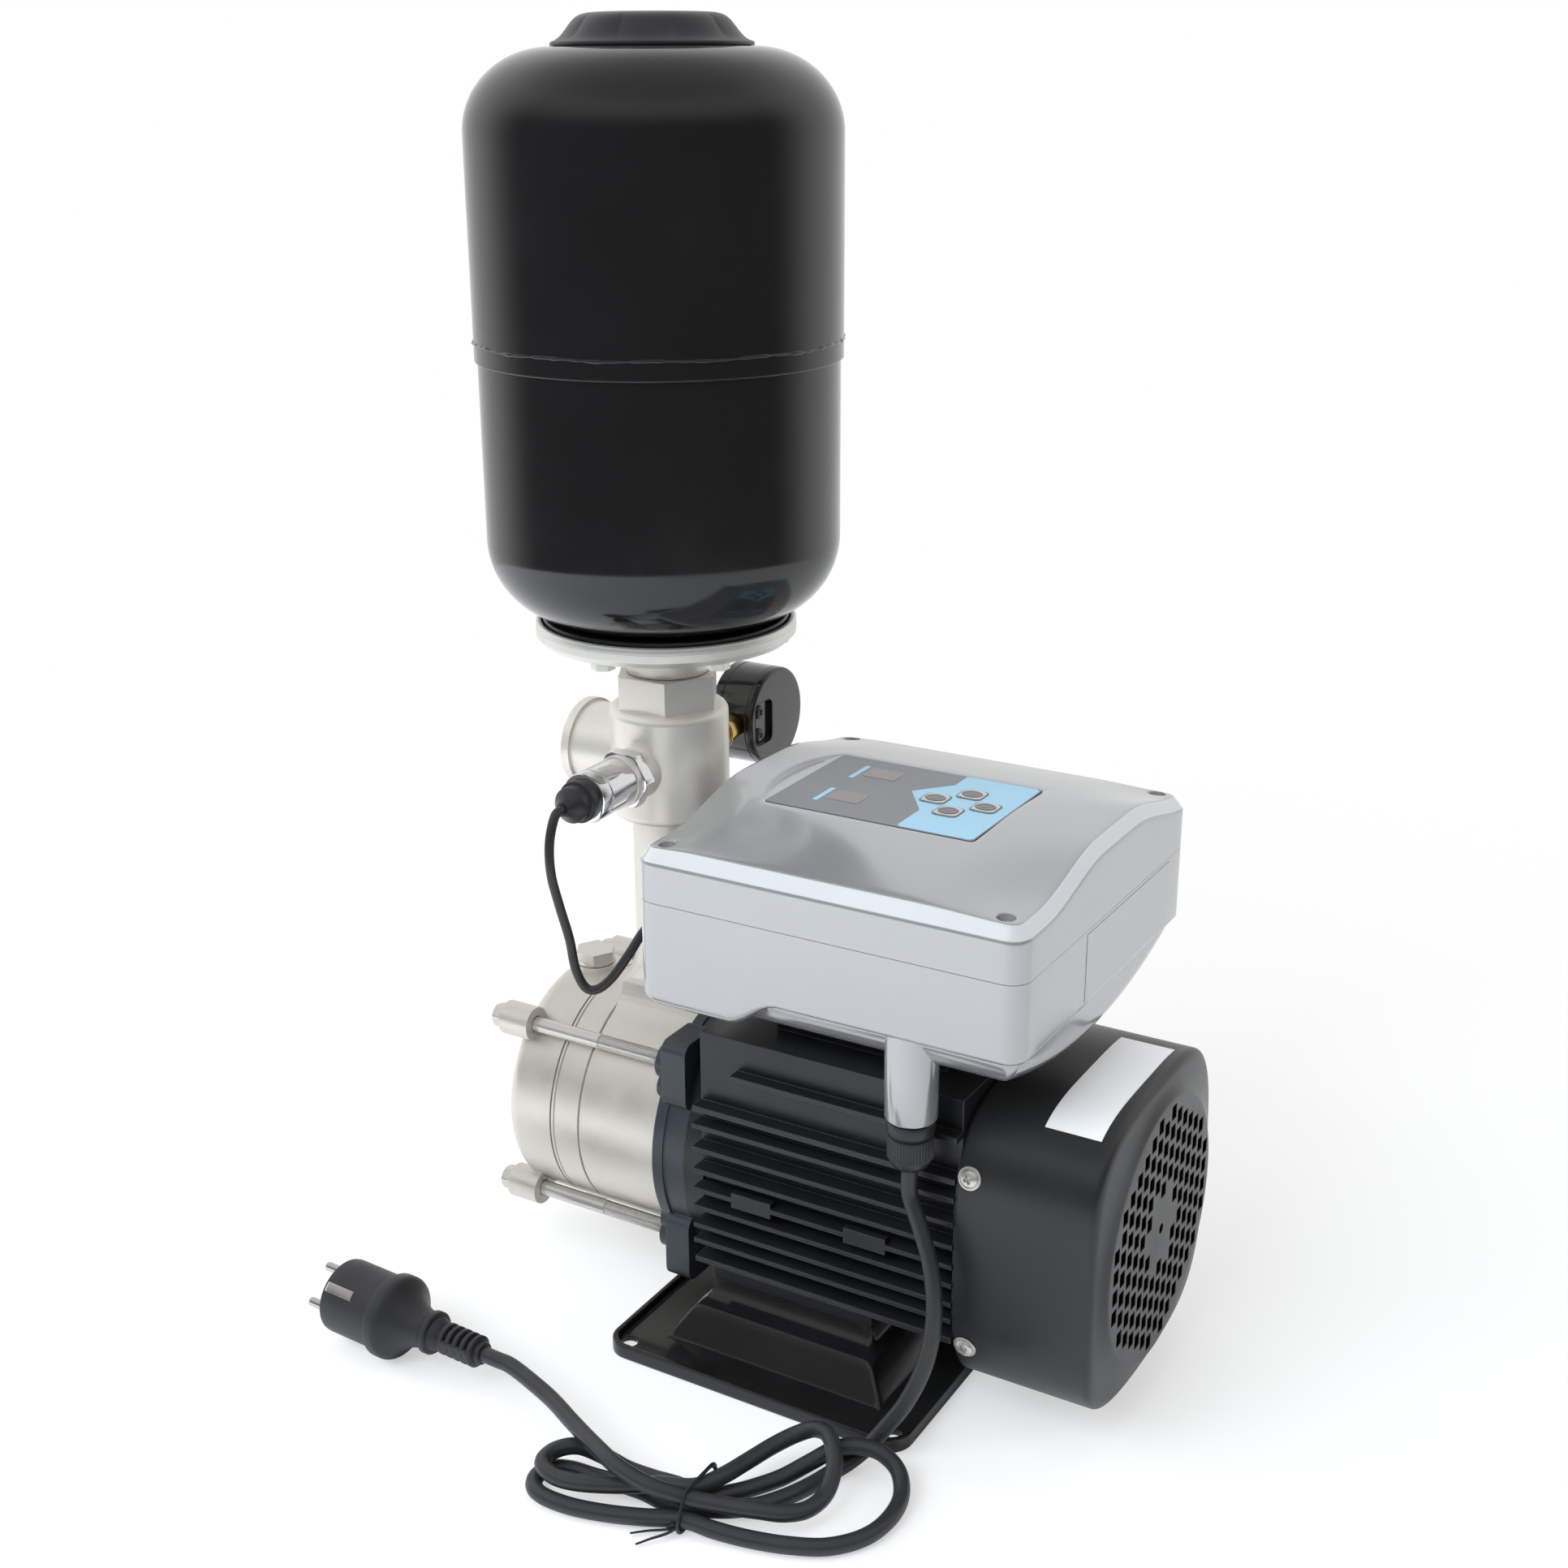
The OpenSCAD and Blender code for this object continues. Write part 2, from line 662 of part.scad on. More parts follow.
module front_cover() color("#c9cacc") at_axis() difference() {
    union() {
        turn_x(concat(
            [[0, cover_x0]],
            arc(casing_r - cover_edge_r, cover_x0 + cover_edge_r, cover_edge_r, 270, 360, 10),
            [[casing_r, sleeve_x0], [casing_r - casing_wall, sleeve_x0]],
            arc(casing_r - cover_edge_r, cover_x0 + cover_edge_r + cover_wall - casing_wall,
                cover_edge_r - casing_wall, 360, 270, 8),
            [[0, cover_x0 + cover_wall]]
        ));
        rod_x(cover_x0 - inlet_reach, cover_x0 + over, inlet_boss_r);
        tube_x(cover_x0 + cover_wall / 2, stack_x0, suction_r, suction_r - suction_t);
        for (sy = [-1, 1], sz = [-1, 1]) {
            translate([0, sy * tie_at, sz * tie_at]) rod_x(lug_cyl_x0, lug_cyl_x0 + lug_cyl_l, lug_cyl_r);
            rotate([atan2(sz, sy), 0, 0]) translate([cover_x0 + cover_wall, casing_r - casing_wall, -lug_web_w / 2])
                cube([lug_cyl_x0 + lug_cyl_l - cover_x0 - cover_wall, tie_at * sqrt(2) - casing_r + casing_wall, lug_web_w]);
        }
        for (side = [-1, 1]) plug_boss(side) translate([0, 0, casing_r - casing_wall])
            cylinder(h = boss_top - casing_r + casing_wall, r = boss_r);
    }
    rod_x(cover_x0 - inlet_reach - over, cover_x0 + cover_wall + over, port_r);
    for (sy = [-1, 1], sz = [-1, 1]) translate([0, sy * tie_at, sz * tie_at])
        rod_x(lug_cyl_x0 - over, sleeve_x0 + over, tie_d / 2 + gap);
    for (side = [-1, 1]) plug_boss(side) translate([0, 0, suction_r])
        cylinder(h = boss_top - suction_r + over, r = plug_hole_r + fit);
}

// Middle sleeve with a spigot and a seal groove at each end
spigot_l = 5;
ring_sec_r = 0.98;
groove_w = 2.4;
sleeve_bore_r = casing_r - casing_wall * 2;
groove_r = casing_r - casing_wall - 2 * ring_sec_r - 2 * fit;
groove_line = 0.5;
ring_places = [sleeve_x0 - spigot_l / 2, casing_x0 + spigot_l / 2];

module casing_sleeve() color("#c4c5c7") at_axis() difference() {
    union() {
        rod_x(sleeve_x0, casing_x0, casing_r);
        rod_x(sleeve_x0 - spigot_l, casing_x0 + spigot_l, casing_r - casing_wall - joint_gap);
    }
    rod_x(sleeve_x0 - spigot_l - over, casing_x0 + spigot_l + over, sleeve_bore_r);
    for (x = ring_places) tube_x(x - groove_w / 2, x + groove_w / 2, casing_r - casing_wall, groove_r);
    tube_x(sleeve_x0 + casing_wall, sleeve_x0 + casing_wall + groove_line, casing_r + over, casing_r - groove_line);
}

module casing_o_rings() color("#17181a") at_axis()
    for (x = ring_places) along_x(x) rotate_extrude() translate([groove_r + ring_sec_r + fit, 0]) circle(ring_sec_r);

// Discharge casing: shell, back wall, stage supports and the riser on its fillet
fillet_r = 25;
support_t = 4;
support_in = 46;
seat_r = 12;
seat_bore_r = 7.6;
riser_socket_l = 14;
riser_socket_r = 17.4;

module riser_fillet() {
    side_z = sqrt(pow(casing_r + fillet_r, 2) - pow(riser_r + fillet_r, 2));
    side_a = atan2(side_z, riser_r + fillet_r);
    intersection() {
        rotate_extrude() polygon(concat(
            [[0, 0], [riser_r + fillet_r, 0]],
            arc(riser_r + fillet_r, casing_r + fillet_r, fillet_r, 270, 180, 10),
            [[0, casing_r + fillet_r]]
        ));
        slab_x(casing_x0 - riser_x, casing_x1 - riser_x) polygon(concat(
            [[0, 0], [(riser_r + fillet_r) * casing_r / (casing_r + fillet_r), 0]],
            arc(riser_r + fillet_r, side_z, fillet_r, 180 + side_a, 180, 8),
            [[riser_r, casing_r + fillet_r]],
            [[-riser_r, casing_r + fillet_r]],
            arc(-riser_r - fillet_r, side_z, fillet_r, 0, -side_a, 8),
            [[-(riser_r + fillet_r) * casing_r / (casing_r + fillet_r), 0]]
        ));
    }
}

module discharge_casing() color("#c9cacc") at_axis() difference() {
    union() {
        difference() {
            union() {
                rod_x(casing_x0, casing_x1, casing_r);
                translate([riser_x, 0, 0]) {
                    riser_fillet();
                    cylinder(h = riser_h, r = riser_r);
                    cylinder(h = riser_h + riser_socket_l, r = riser_socket_r);
                }
            }
            rod_x(casing_x0 - over, rear_wall_x, casing_r - casing_wall);
        }
        for (a = [45 : 90 : 315]) rotate([a, 0, 0]) translate([stack_x1, support_in, -support_t / 2])
            cube([rear_wall_x + over - stack_x1, casing_r - casing_wall / 2 - support_in, support_t]);
    }
    translate([riser_x, 0, casing_r - 2 * casing_wall])
        cylinder(h = riser_h + riser_socket_l, r = riser_bore_r);
    rod_x(rear_wall_x - over, casing_x1 + over, seat_r + fit);
}

// Shaft seal: a fixed seat in the back wall and a turning head on the shaft
module seal_seat() color("#e8e4da") at_axis() tube_x(seal_x, casing_x1 - over / 2, seat_r, seat_bore_r);

module seal_rotary() color("#3a3b3e") at_axis() {
    tube_x(seal_x - seal_l, seal_x - fit, seat_r - over, shaft_seal_r);
}

// Cooling fan: hub, back plate and straight blades
fan_plate_t = 2;
fan_blade_t = 2;
fan_hub_r = 15;

module cooling_fan() color("#2a2b2e") at_axis() difference() {
    union() {
        rod_x(fan_x, fan_x + fan_hub_l, fan_hub_r);
        rod_x(fan_x + fan_plate_t, fan_x + 2 * fan_plate_t, fan_r * 0.7);
        for (i = [0 : fan_blades - 1]) rotate([i * 360 / fan_blades, 0, 0])
            translate([fan_x + fan_plate_t, fan_hub_r - over, -fan_blade_t / 2])
                cube([fan_blade_l, fan_r - fan_hub_r + over, fan_blade_t]);
    }
    rod_x(fan_x - over, fan_x + fan_hub_l + over, fan_seat_r);
}

// Fan cover: square sheet hood with a sloped edge and a round grille of square holes
module hood(inset, x0, x1) {
    slab_x(x0, x1 - cover_edge) polygon(cover_outline(cover_half - inset));
    hull() {
        slab_x(x1 - cover_edge - fit, x1 - cover_edge) polygon(cover_outline(cover_half - inset));
        slab_x(x1 - fit, x1) translate([0, cover_lift]) circle(grille_r + cover_sheet - inset);
    }
}

function grille_rows() = floor(grille_r / grille_pitch);

module grille_holes() {
    hole = grille_pitch - grille_bar;
    intersection() {
        difference() {
            circle(grille_r);
            circle(grille_mid_r);
        }
        for (row = [-grille_rows() : grille_rows()], col = [-grille_rows() - 1 : grille_rows()])
            let (
                y = (col + 0.5 + abs(row % 2) / 2) * grille_pitch,
                z = row * grille_pitch,
                r = norm([y, z])
            )
                if (r > grille_mid_r + hole / 2 && r < grille_r - hole / 2)
                    translate([y, z]) square(hole, center = true);
    }
}

module fan_cover() color("#17181b") at_axis() difference() {
    hood(0, cover_x, face_x);
    hood(cover_sheet, cover_x - over, face_x - cover_sheet);
    slab_x(face_x - 2 * cover_sheet, face_x + over) translate([0, cover_lift]) grille_holes();
    rod_x(face_x - 2 * cover_sheet, face_x + over, cover_screw_r);
    at_cover_screws(cover_half) translate([0, 0, -cover_sheet - over])
        cylinder(h = cover_sheet + 2 * over, r = cover_screw_r + gap);
}

cover_screw_head_r = 4.5;
cover_screw_head_h = 2.4;
cover_screw_l = 6;

module fan_cover_screws() color("#c8c9cc") at_axis()
    at_cover_screws(cover_half + gap) {
        cylinder(h = cover_screw_head_h, r1 = cover_screw_head_r, r2 = cover_screw_head_r * 0.7);
        translate([0, 0, -cover_screw_l + over]) cylinder(h = cover_screw_l, r = cover_screw_r);
    }

// Tie bolts with their washers
bolt_af = 13;
bolt_head_h = 5.3;
washer_t = 1.6;
washer_r = 8;

module tie_bolts() color("#cfcabf") at_axis()
    for (sy = [-1, 1], sz = [-1, 1]) translate([0, sy * tie_at, sz * tie_at]) {
        tube_x(lug_cyl_x0 - washer_t, lug_cyl_x0, washer_r, tie_d / 2 + gap);
        along_x(lug_cyl_x0 - washer_t - bolt_head_h) hex_rod(bolt_head_h, bolt_af);
        rod_x(lug_cyl_x0 - washer_t - over, tie_end, tie_d / 2);
    }

// Filler and drain plugs
plug_af = 19;
plug_head_h = 6;
plug_ring_t = 1;
plug_thread_l = 8;

module port_plug() {
    translate([0, 0, boss_top + gap]) {
        translate([0, 0, plug_ring_t]) hex_rod(plug_head_h, plug_af);
        cylinder(h = plug_ring_t + over, r = boss_r - over);
        translate([0, 0, -plug_thread_l]) cylinder(h = plug_thread_l + over, r = plug_hole_r);
    }
}

module filler_plug() color("#c6c1b5") at_axis() plug_boss(1) port_plug();

module drain_plug() color("#c6c1b5") at_axis() plug_boss(-1) port_plug();

// Five-way body: riser socket, tank socket with a hexagon, outlet, gauge and sensor ports
fitting_z = riser_h;
fitting_port_z = fitting_z + fitting_h / 2;
fitting_cavity_r = 22;
small_port_r = 6.6;
small_boss_r = 13;
small_boss_reach = 36;
sensor_boss_reach = 46.5;
socket_r = 16.6;
outlet_thread_l = 16;
outlet_flare = 1.5;
fitting_round = 4;

module fitting_port(angle) {
    translate([0, 0, fitting_port_z]) rotate([0, 0, angle]) rotate([0, 90, 0]) children();
}

module five_way_body() color("#c3c4c6") at_axis() translate([riser_x, 0, 0]) difference() {
    union() {
        rotate_extrude() polygon(concat(
            [[0, fitting_z]],
            arc(fitting_r - fitting_round, fitting_z + fitting_round, fitting_round, 270, 360, 6),
            arc(fitting_r - fitting_round, fitting_z + fitting_h - fitting_round, fitting_round, 0, 90, 6),
            [[0, fitting_z + fitting_h]]
        ));
        translate([0, 0, fitting_z + fitting_h - over]) hex_rod(fitting_hex_h + over, fitting_af);
        fitting_port(180) {
            cylinder(h = outlet_reach, r = outlet_r);
            translate([0, 0, outlet_reach - 3 * outlet_flare]) cylinder(h = 3 * outlet_flare, r = outlet_r + outlet_flare);
        }
        fitting_port(90) cylinder(h = small_boss_reach, r = small_boss_r);
        fitting_port(-90) cylinder(h = sensor_boss_reach, r = small_boss_r);
    }
    translate([0, 0, fitting_z - over]) cylinder(h = riser_socket_l + over + gap, r = riser_socket_r + fit);
    translate([0, 0, fitting_z + riser_socket_l])
        cylinder(h = fitting_h - riser_socket_l - fitting_round, r = fitting_cavity_r);
    translate([0, 0, fitting_z + fitting_h - fitting_round - over])
        cylinder(h = fitting_hex_h + fitting_round + 3 * over, r = socket_r + fit);
    fitting_port(180) {
        cylinder(h = outlet_reach - outlet_thread_l, r = port_r - over);
        translate([0, 0, outlet_reach - outlet_thread_l]) cylinder(h = outlet_thread_l + over, r = port_r);
    }
    for (a = [90, -90]) fitting_port(a) cylinder(h = sensor_boss_reach + over, r = small_port_r + fit);
}

// Check valve in the riser's top: a guided poppet under a light spring
poppet_r = 19;
poppet_t = 3;
poppet_z = riser_h + riser_socket_l + gap;
spring_wire_r = 0.8;
spring_r = 14;
spring_turns = 5;
guide_wing_r = 15.6;
guide_wing_l = 12;
guide_wing_t = 2;

module valve_poppet() color("#3f6fa8") at_axis() translate([riser_x, 0, poppet_z]) {
    cylinder(h = poppet_t, r = poppet_r);
    cylinder(h = poppet_t * 3, r = spring_r - 2 * spring_wire_r - gap);
    for (a = [0, 90]) rotate([0, 0, a]) translate([-guide_wing_r, -guide_wing_t / 2, -guide_wing_l])
        cube([2 * guide_wing_r, guide_wing_t, guide_wing_l + over]);
}

// Sweeps a ring of sides along a list of points as one closed tube
function unit(v) = v / norm(v);
function tangents(pts, ahead, behind) = [for (i = [0 : len(pts) - 1])
    i == 0 && ahead != undef ? unit(ahead)
    : i == len(pts) - 1 && behind != undef ? unit(behind)
    : unit(pts[min(i + 1, len(pts) - 1)] - pts[max(i - 1, 0)])];
function carry(v, t) = unit(v - t * (v * t));
function frames(ts, v, i = 0) = i >= len(ts) ? [] :
    let (u = carry(v, ts[i])) concat([u], frames(ts, u, i + 1));

// ahead and behind set the directions that its two flat ends face along
module sweep_tube(pts, r, sides, start, ahead, behind) {
    ts = tangents(pts, ahead, behind);
    us = frames(ts, start);
    rings = [for (i = [0 : len(pts) - 1], k = [0 : sides - 1])
        pts[i] + r * (cos(k * 360 / sides) * us[i] + sin(k * 360 / sides) * cross(ts[i], us[i]))];
    last = (len(pts) - 1) * sides;
    walls = [for (i = [0 : len(pts) - 2], k = [0 : sides - 1])
        let (a = i * sides + k, b = i * sides + (k + 1) % sides)
            each [[a, b + sides, b], [a, a + sides, b + sides]]];
    ends = [for (k = [1 : sides - 2]) each [[0, k, k + 1], [last, last + k + 1, last + k]]];
    polyhedron(points = rings, faces = concat(walls, ends));
}

spring_z = poppet_z + poppet_t + joint_gap;
thread_in = 14;
spring_l = fitting_z + fitting_h + fitting_hex_h + gap - thread_in - joint_gap - spring_z;

module valve_spring() color("#b7bac0") at_axis() translate([riser_x, 0, spring_z + spring_wire_r])
    sweep_tube([for (i = [0 : 8 * spring_turns]) [
        spring_r * cos(i * 45), spring_r * sin(i * 45), (spring_l - 2 * spring_wire_r) * i / (8 * spring_turns)
    ]], spring_wire_r, 6, [1, 0, 0]);

// Tank: nipple, flange, bolts, two shells, bladder, valve and cap
nipple_bore_r = 12.5;
nipple_collar_r = 20.5;
nipple_collar_h = 11.6;
collar_z = fitting_z + fitting_h + fitting_hex_h + gap;
flange_z = collar_z + nipple_collar_h;
flange_h = 13;
flange_sheet = 3;
flange_step_r = 46;
bladder_seat_h = 7;
ring_r = flange_r - 3.5;
ring_h = 5;
ring_bore_r = 44.5;
bolt_ring_r = (ring_r + flange_step_r) / 2 + over;
tank_z = flange_z + flange_h;

module tank_nipple() color("#c2c3c0") at_axis() translate([riser_x, 0, 0]) difference() {
    union() {
        translate([0, 0, collar_z - thread_in]) cylinder(h = thread_in + nipple_collar_h + flange_sheet + over, r = socket_r);
        translate([0, 0, collar_z]) cylinder(h = nipple_collar_h, r = nipple_collar_r);
    }
    translate([0, 0, collar_z - thread_in - over]) cylinder(h = thread_in + flange_h + nipple_collar_h, r = nipple_bore_r);
}

module tank_flange() color("#b9bab8") at_axis() translate([riser_x, 0, flange_z]) difference() {
    rotate_extrude() polygon([
        [socket_r + fit, 0],
        [nipple_collar_r + flange_sheet, 0],
        [flange_step_r - flange_sheet, flange_sheet + over],
        [flange_step_r + over, bladder_seat_h - over],
        [flange_r - flange_sheet, bladder_seat_h - over],
        [flange_r, bladder_seat_h + 2 * over],
        [flange_r, flange_h],
        [flange_step_r, flange_h],
        [flange_step_r - over, bladder_seat_h],
        [nipple_collar_r + 2 * flange_sheet, bladder_seat_h],
        [nipple_collar_r + flange_sheet, flange_sheet],
        [socket_r + fit, flange_sheet]
    ]);
    flange_bolt_places() translate([0, 0, -over]) cylinder(h = flange_h + 2 * over, r = flange_bolt_r + gap);
}

flange_bolt_r = 3;
flange_bolt_af = 10;
flange_head_h = 4;

module flange_bolt_places() {
    for (i = [0 : flange_bolt_count - 1]) rotate([0, 0, (i + 0.5) * 360 / flange_bolt_count])
        translate([bolt_ring_r, 0, 0]) children();
}

module flange_bolts() color("#d3d4d6") at_axis() translate([riser_x, 0, flange_z]) flange_bolt_places() {
    translate([0, 0, bladder_seat_h - over - flange_head_h]) hex_rod(flange_head_h, flange_bolt_af);
    translate([0, 0, bladder_seat_h - 2 * over])
        cylinder(h = flange_h + ring_h - bladder_seat_h, r = flange_bolt_r);
}

// Shell profiles run from the axis outwards; the wall is taken off inside
tank_foot_r = ring_bore_r + 2;
lower_r = tank_r - tank_wall - joint_gap;
tank_lap = 10;
crown_h = 3;
valve_hole_r = 5;

function bottom_curve(r, h, inset) = ellipse_arc(tank_foot_r, ring_h + tank_bottom_h,
    r - tank_foot_r, tank_bottom_h - inset, 270, 360, 10);
function top_curve(r, inset) = ellipse_arc(cap_r, tank_h - crown_h - tank_top_h,
    r - cap_r, tank_top_h - inset, 0, 90, 10);

module tank_lower_shell() color("#0f1012") at_axis() translate([riser_x, 0, tank_z]) difference() {
    rotate_extrude() polygon(concat(
        [[ring_bore_r, 0], [ring_r, 0], [ring_r, ring_h]],
        bottom_curve(lower_r, 0, 0),
        [[lower_r, tank_seam + tank_lap], [lower_r - tank_wall, tank_seam + tank_lap]],
        [for (i = [10 : -1 : 0]) bottom_curve(lower_r - tank_wall, 0, tank_wall)[i]],
        [[ring_bore_r, ring_h + tank_wall]]
    ));
    flange_bolt_places() translate([0, 0, -over]) cylinder(h = ring_h, r = flange_bolt_r + fit);
}

bead_r = 1.4;
bead_z = tank_seam + 9;

module tank_upper_shell() color("#0f1012") at_axis() translate([riser_x, 0, tank_z]) {
    rotate_extrude() polygon(concat(
        [[tank_r - tank_wall, tank_seam], [tank_r, tank_seam]],
        top_curve(tank_r, 0),
        [[valve_hole_r, tank_h], [valve_hole_r, tank_h - tank_wall]],
        [for (i = [10 : -1 : 0]) top_curve(tank_r - tank_wall, tank_wall)[i]]
    ));
    rotate_extrude() translate([tank_r, bead_z]) circle(bead_r * 0.45);
}

bladder_t = 2;
bladder_r = 76;
bladder_neck_r = 32;
bladder_z1 = 210;

function bladder_line(o) = concat(
    ellipse_arc(bladder_neck_r - o, ring_h + 42, bladder_r - bladder_neck_r, 36, 270, 360, 8),
    ellipse_arc(0, bladder_z1 - 40, bladder_r - o, 40 - o, 0, 90, 8)
);

module tank_bladder() color("#2b2c2f") at_axis() translate([riser_x, 0, tank_z])
    rotate_extrude() polygon(concat(
        [[bladder_neck_r - bladder_t, bladder_seat_h - flange_h]],
        [[flange_step_r - 2 * over, bladder_seat_h - flange_h]],
        [[flange_step_r - 2 * over, bladder_seat_h - flange_h + bladder_t]],
        [[bladder_neck_r, bladder_seat_h - flange_h + bladder_t]],
        bladder_line(0),
        [for (i = [17 : -1 : 0]) bladder_line(bladder_t)[i]]
    ));

valve_r = 4;
valve_stem_l = 9;
valve_under = 5;

module air_valve() color("#b99a4a") at_axis() translate([riser_x, 0, tank_z + tank_h]) {
    translate([0, 0, -valve_under]) cylinder(h = valve_under + valve_stem_l, r = valve_r);
    cylinder(h = over, r = valve_hole_r + 2 * over);
    translate([0, 0, -tank_wall - gap - over]) cylinder(h = over, r = valve_hole_r + 2 * over);
}

// Cap: flared skirt with scallops and a flat top
cap_top_r = 26;
cap_sheet = 2;
cap_scallops = 12;
cap_scallop_r = 5;
cap_lip_h = 2.2;

function cap_line(inset) = concat(
    [[cap_r - inset, 0], [cap_r - inset, cap_lip_h - inset / 4]],
    [for (i = [1 : 8]) [
        cap_r - inset - (cap_r - cap_top_r) * sin(i * 90 / 8),
        cap_lip_h - inset / 4 + (cap_h - cap_lip_h - inset * 3 / 4) * (1 - cos(i * 90 / 8)) * 0.85
    ]],
    [[cap_top_r - inset - over, cap_h - inset]]
);

module tank_cap() color("#1a1b1f") at_axis() translate([riser_x, 0, tank_z + tank_h - crown_h + gap]) difference() {
    rotate_extrude() polygon(concat([[0, 0]], cap_line(0), [[0, cap_h]]));
    translate([0, 0, -joint_gap]) rotate_extrude() polygon(concat([[0, 0]], cap_line(cap_sheet), [[0, cap_h - cap_sheet]]));
    for (i = [0 : cap_scallops - 1]) rotate([0, 0, i * 360 / cap_scallops])
        translate([cap_top_r + cap_scallop_r - cap_sheet / 2, 0, cap_lip_h + cap_sheet + over]) cylinder(h = cap_h, r = cap_scallop_r);
}

// Pressure sensor, screwed into the port on the -Y side
sensor_thread_l = 11;
sensor_hex_h = 8;
sensor_af = 27;

module sensor_frame(out) {
    at_axis() translate([riser_x, -out, fitting_port_z]) rotate([90, 0, 0]) children();
}

module pressure_sensor() color("#c7c8ca") sensor_frame(sensor_boss_reach) {
    translate([0, 0, -sensor_thread_l]) cylinder(h = sensor_thread_l + over, r = small_port_r);
    hex_rod(sensor_hex_h, sensor_af);
    translate([0, 0, sensor_hex_h]) cylinder(h = sensor_l, r = sensor_r);
}

gland_body_l = 6;
gland_cap_l = 6;
gland_cone_l = 5;
sensor_end = sensor_boss_reach + sensor_hex_h + sensor_l + gland_body_l + gland_cap_l + gland_cone_l;

module sensor_gland() color("#1b1c1e") sensor_frame(sensor_boss_reach + sensor_hex_h + sensor_l) {
    cylinder(h = gland_body_l, r = sensor_r - 2 * over);
    translate([0, 0, gland_body_l]) cylinder(h = gland_cap_l, r = sensor_r - 4 * over);
    translate([0, 0, gland_body_l + gland_cap_l])
        cylinder(h = gland_cone_l, r1 = sensor_r - 5 * over, r2 = sensor_cord_d / 2 + over);
}

// Gauge on the +Y port: case with its stem, dial, needle and lens; the dial faces -X
gauge_wall = 1.5;
gauge_stem_r = 6;
gauge_hex_af = 14;
gauge_hex_h = 8;
gauge_face_in = 5;
dial_t = 0.8;
lens_t = 1.5;
needle_t = 0.8;
gauge_x0 = riser_x - gauge_depth / 2;
gauge_lip = 2;

module gauge_frame() {
    at_axis() translate([gauge_x0, gauge_out, fitting_port_z]) rotate([0, 90, 0]) children();
}

module gauge_case() color("#18191b") {
    gauge_frame() difference() {
        cylinder(h = gauge_depth, r = gauge_r);
        translate([0, 0, gauge_face_in]) cylinder(h = gauge_depth - gauge_face_in - gauge_wall, r = gauge_r - gauge_wall);
        translate([0, 0, -over]) cylinder(h = gauge_face_in + 2 * over, r = gauge_r - gauge_lip);
        translate([0, 0, gauge_face_in - lens_t - fit]) cylinder(h = lens_t + 2 * fit, r = gauge_r - gauge_wall);
    }
    at_axis() translate([riser_x, small_boss_reach, fitting_port_z]) rotate([-90, 0, 0]) {
        translate([0, 0, -sensor_thread_l]) cylinder(h = sensor_thread_l + over, r = small_port_r);
        hex_rod(gauge_hex_h, gauge_hex_af);
        cylinder(h = gauge_out - small_boss_reach - gauge_r + gauge_wall, r = gauge_stem_r);
    }
}

dial_z = gauge_face_in + 4;

module gauge_dial() color("#f1f1ee") gauge_frame() difference() {
    translate([0, 0, dial_z]) cylinder(h = dial_t, r = gauge_r - gauge_wall);
    translate([0, 0, dial_z - over]) cylinder(h = dial_t + 2 * over, r = over + joint_gap);
}

module gauge_lens() color("#dfe8ec") gauge_frame()
    translate([0, 0, gauge_face_in - lens_t]) cylinder(h = lens_t, r = gauge_r - gauge_wall);

needle_l = 17;
needle_tail = 6;
needle_zero = 135;

module gauge_needle() color("#b81f1f") gauge_frame() translate([0, 0, dial_z - needle_t - 2 * gap]) {
    cylinder(h = needle_t, r = 2 * over);
    cylinder(h = needle_t + dial_t + over, r = over);
    rotate([0, 0, needle_zero]) linear_extrude(needle_t)
        polygon([[-needle_tail, -over], [needle_l, -gap], [needle_l, gap], [-needle_tail, over]]);
}

// Controller box: lower housing with a stepped skirt and a belly, and an arched lid
box_x0 = motor_x0 - 3.5;
box_cx = box_x0 + box_l / 2;
belly_inset = 4;
belly_deep = 28;
belly_rise = 18;
skirt_run = 26;
skirt_turn_share = 0.32;
screw_in_x = 13;
screw_in_y = 10.5;
box_floor_z = box_seam - skirt_h - belly_deep;
gland_x = 77;
gland_off = 10;
gland_y = -fin_reach - gland_off;
gland_stub_r = 12;
gland_stub_end = 71.5;

function belly(z0, half) = concat(
    [for (i = [-8 : 8]) [half * i / 8, z0 + belly_rise * pow(i / 8, 2)]],
    [[half, box_seam], [-half, box_seam]]
);
function skirt_line(lift) = concat(
    [[box_x0 - over, box_seam + over], [box_x0 - over, box_seam - skirt_h - skirt_drop + lift]],
    [for (i = [0 : 8]) [
        box_x0 + box_l * skirt_turn_share + skirt_run * (i / 8 - 0.5),
        box_seam - skirt_h - skirt_drop + lift + skirt_drop * (1 - cos(i * 180 / 8)) / 2
    ]],
    [[box_x0 + box_l + over, box_seam - skirt_h + lift], [box_x0 + box_l + over, box_seam + over]]
);

module box_prism(z0, z1, inset) {
    translate([box_cx, 0, z0]) linear_extrude(z1 - z0)
        round_square(box_l - 2 * inset, box_w - 2 * inset, box_r - inset);
}

module box_pan(inset, z0) {
    intersection() {
        box_prism(box_floor_z - over, box_seam, belly_inset + inset);
        slab_x(box_x0, box_x0 + box_l) polygon(belly(z0, box_w / 2));
    }
}

board_z = box_seam - 30;
post_r = 4;
post_in = 26;
cord_boss_r = 5;
cord_boss_l = 3;
sensor_entry = [-70, 134.5];

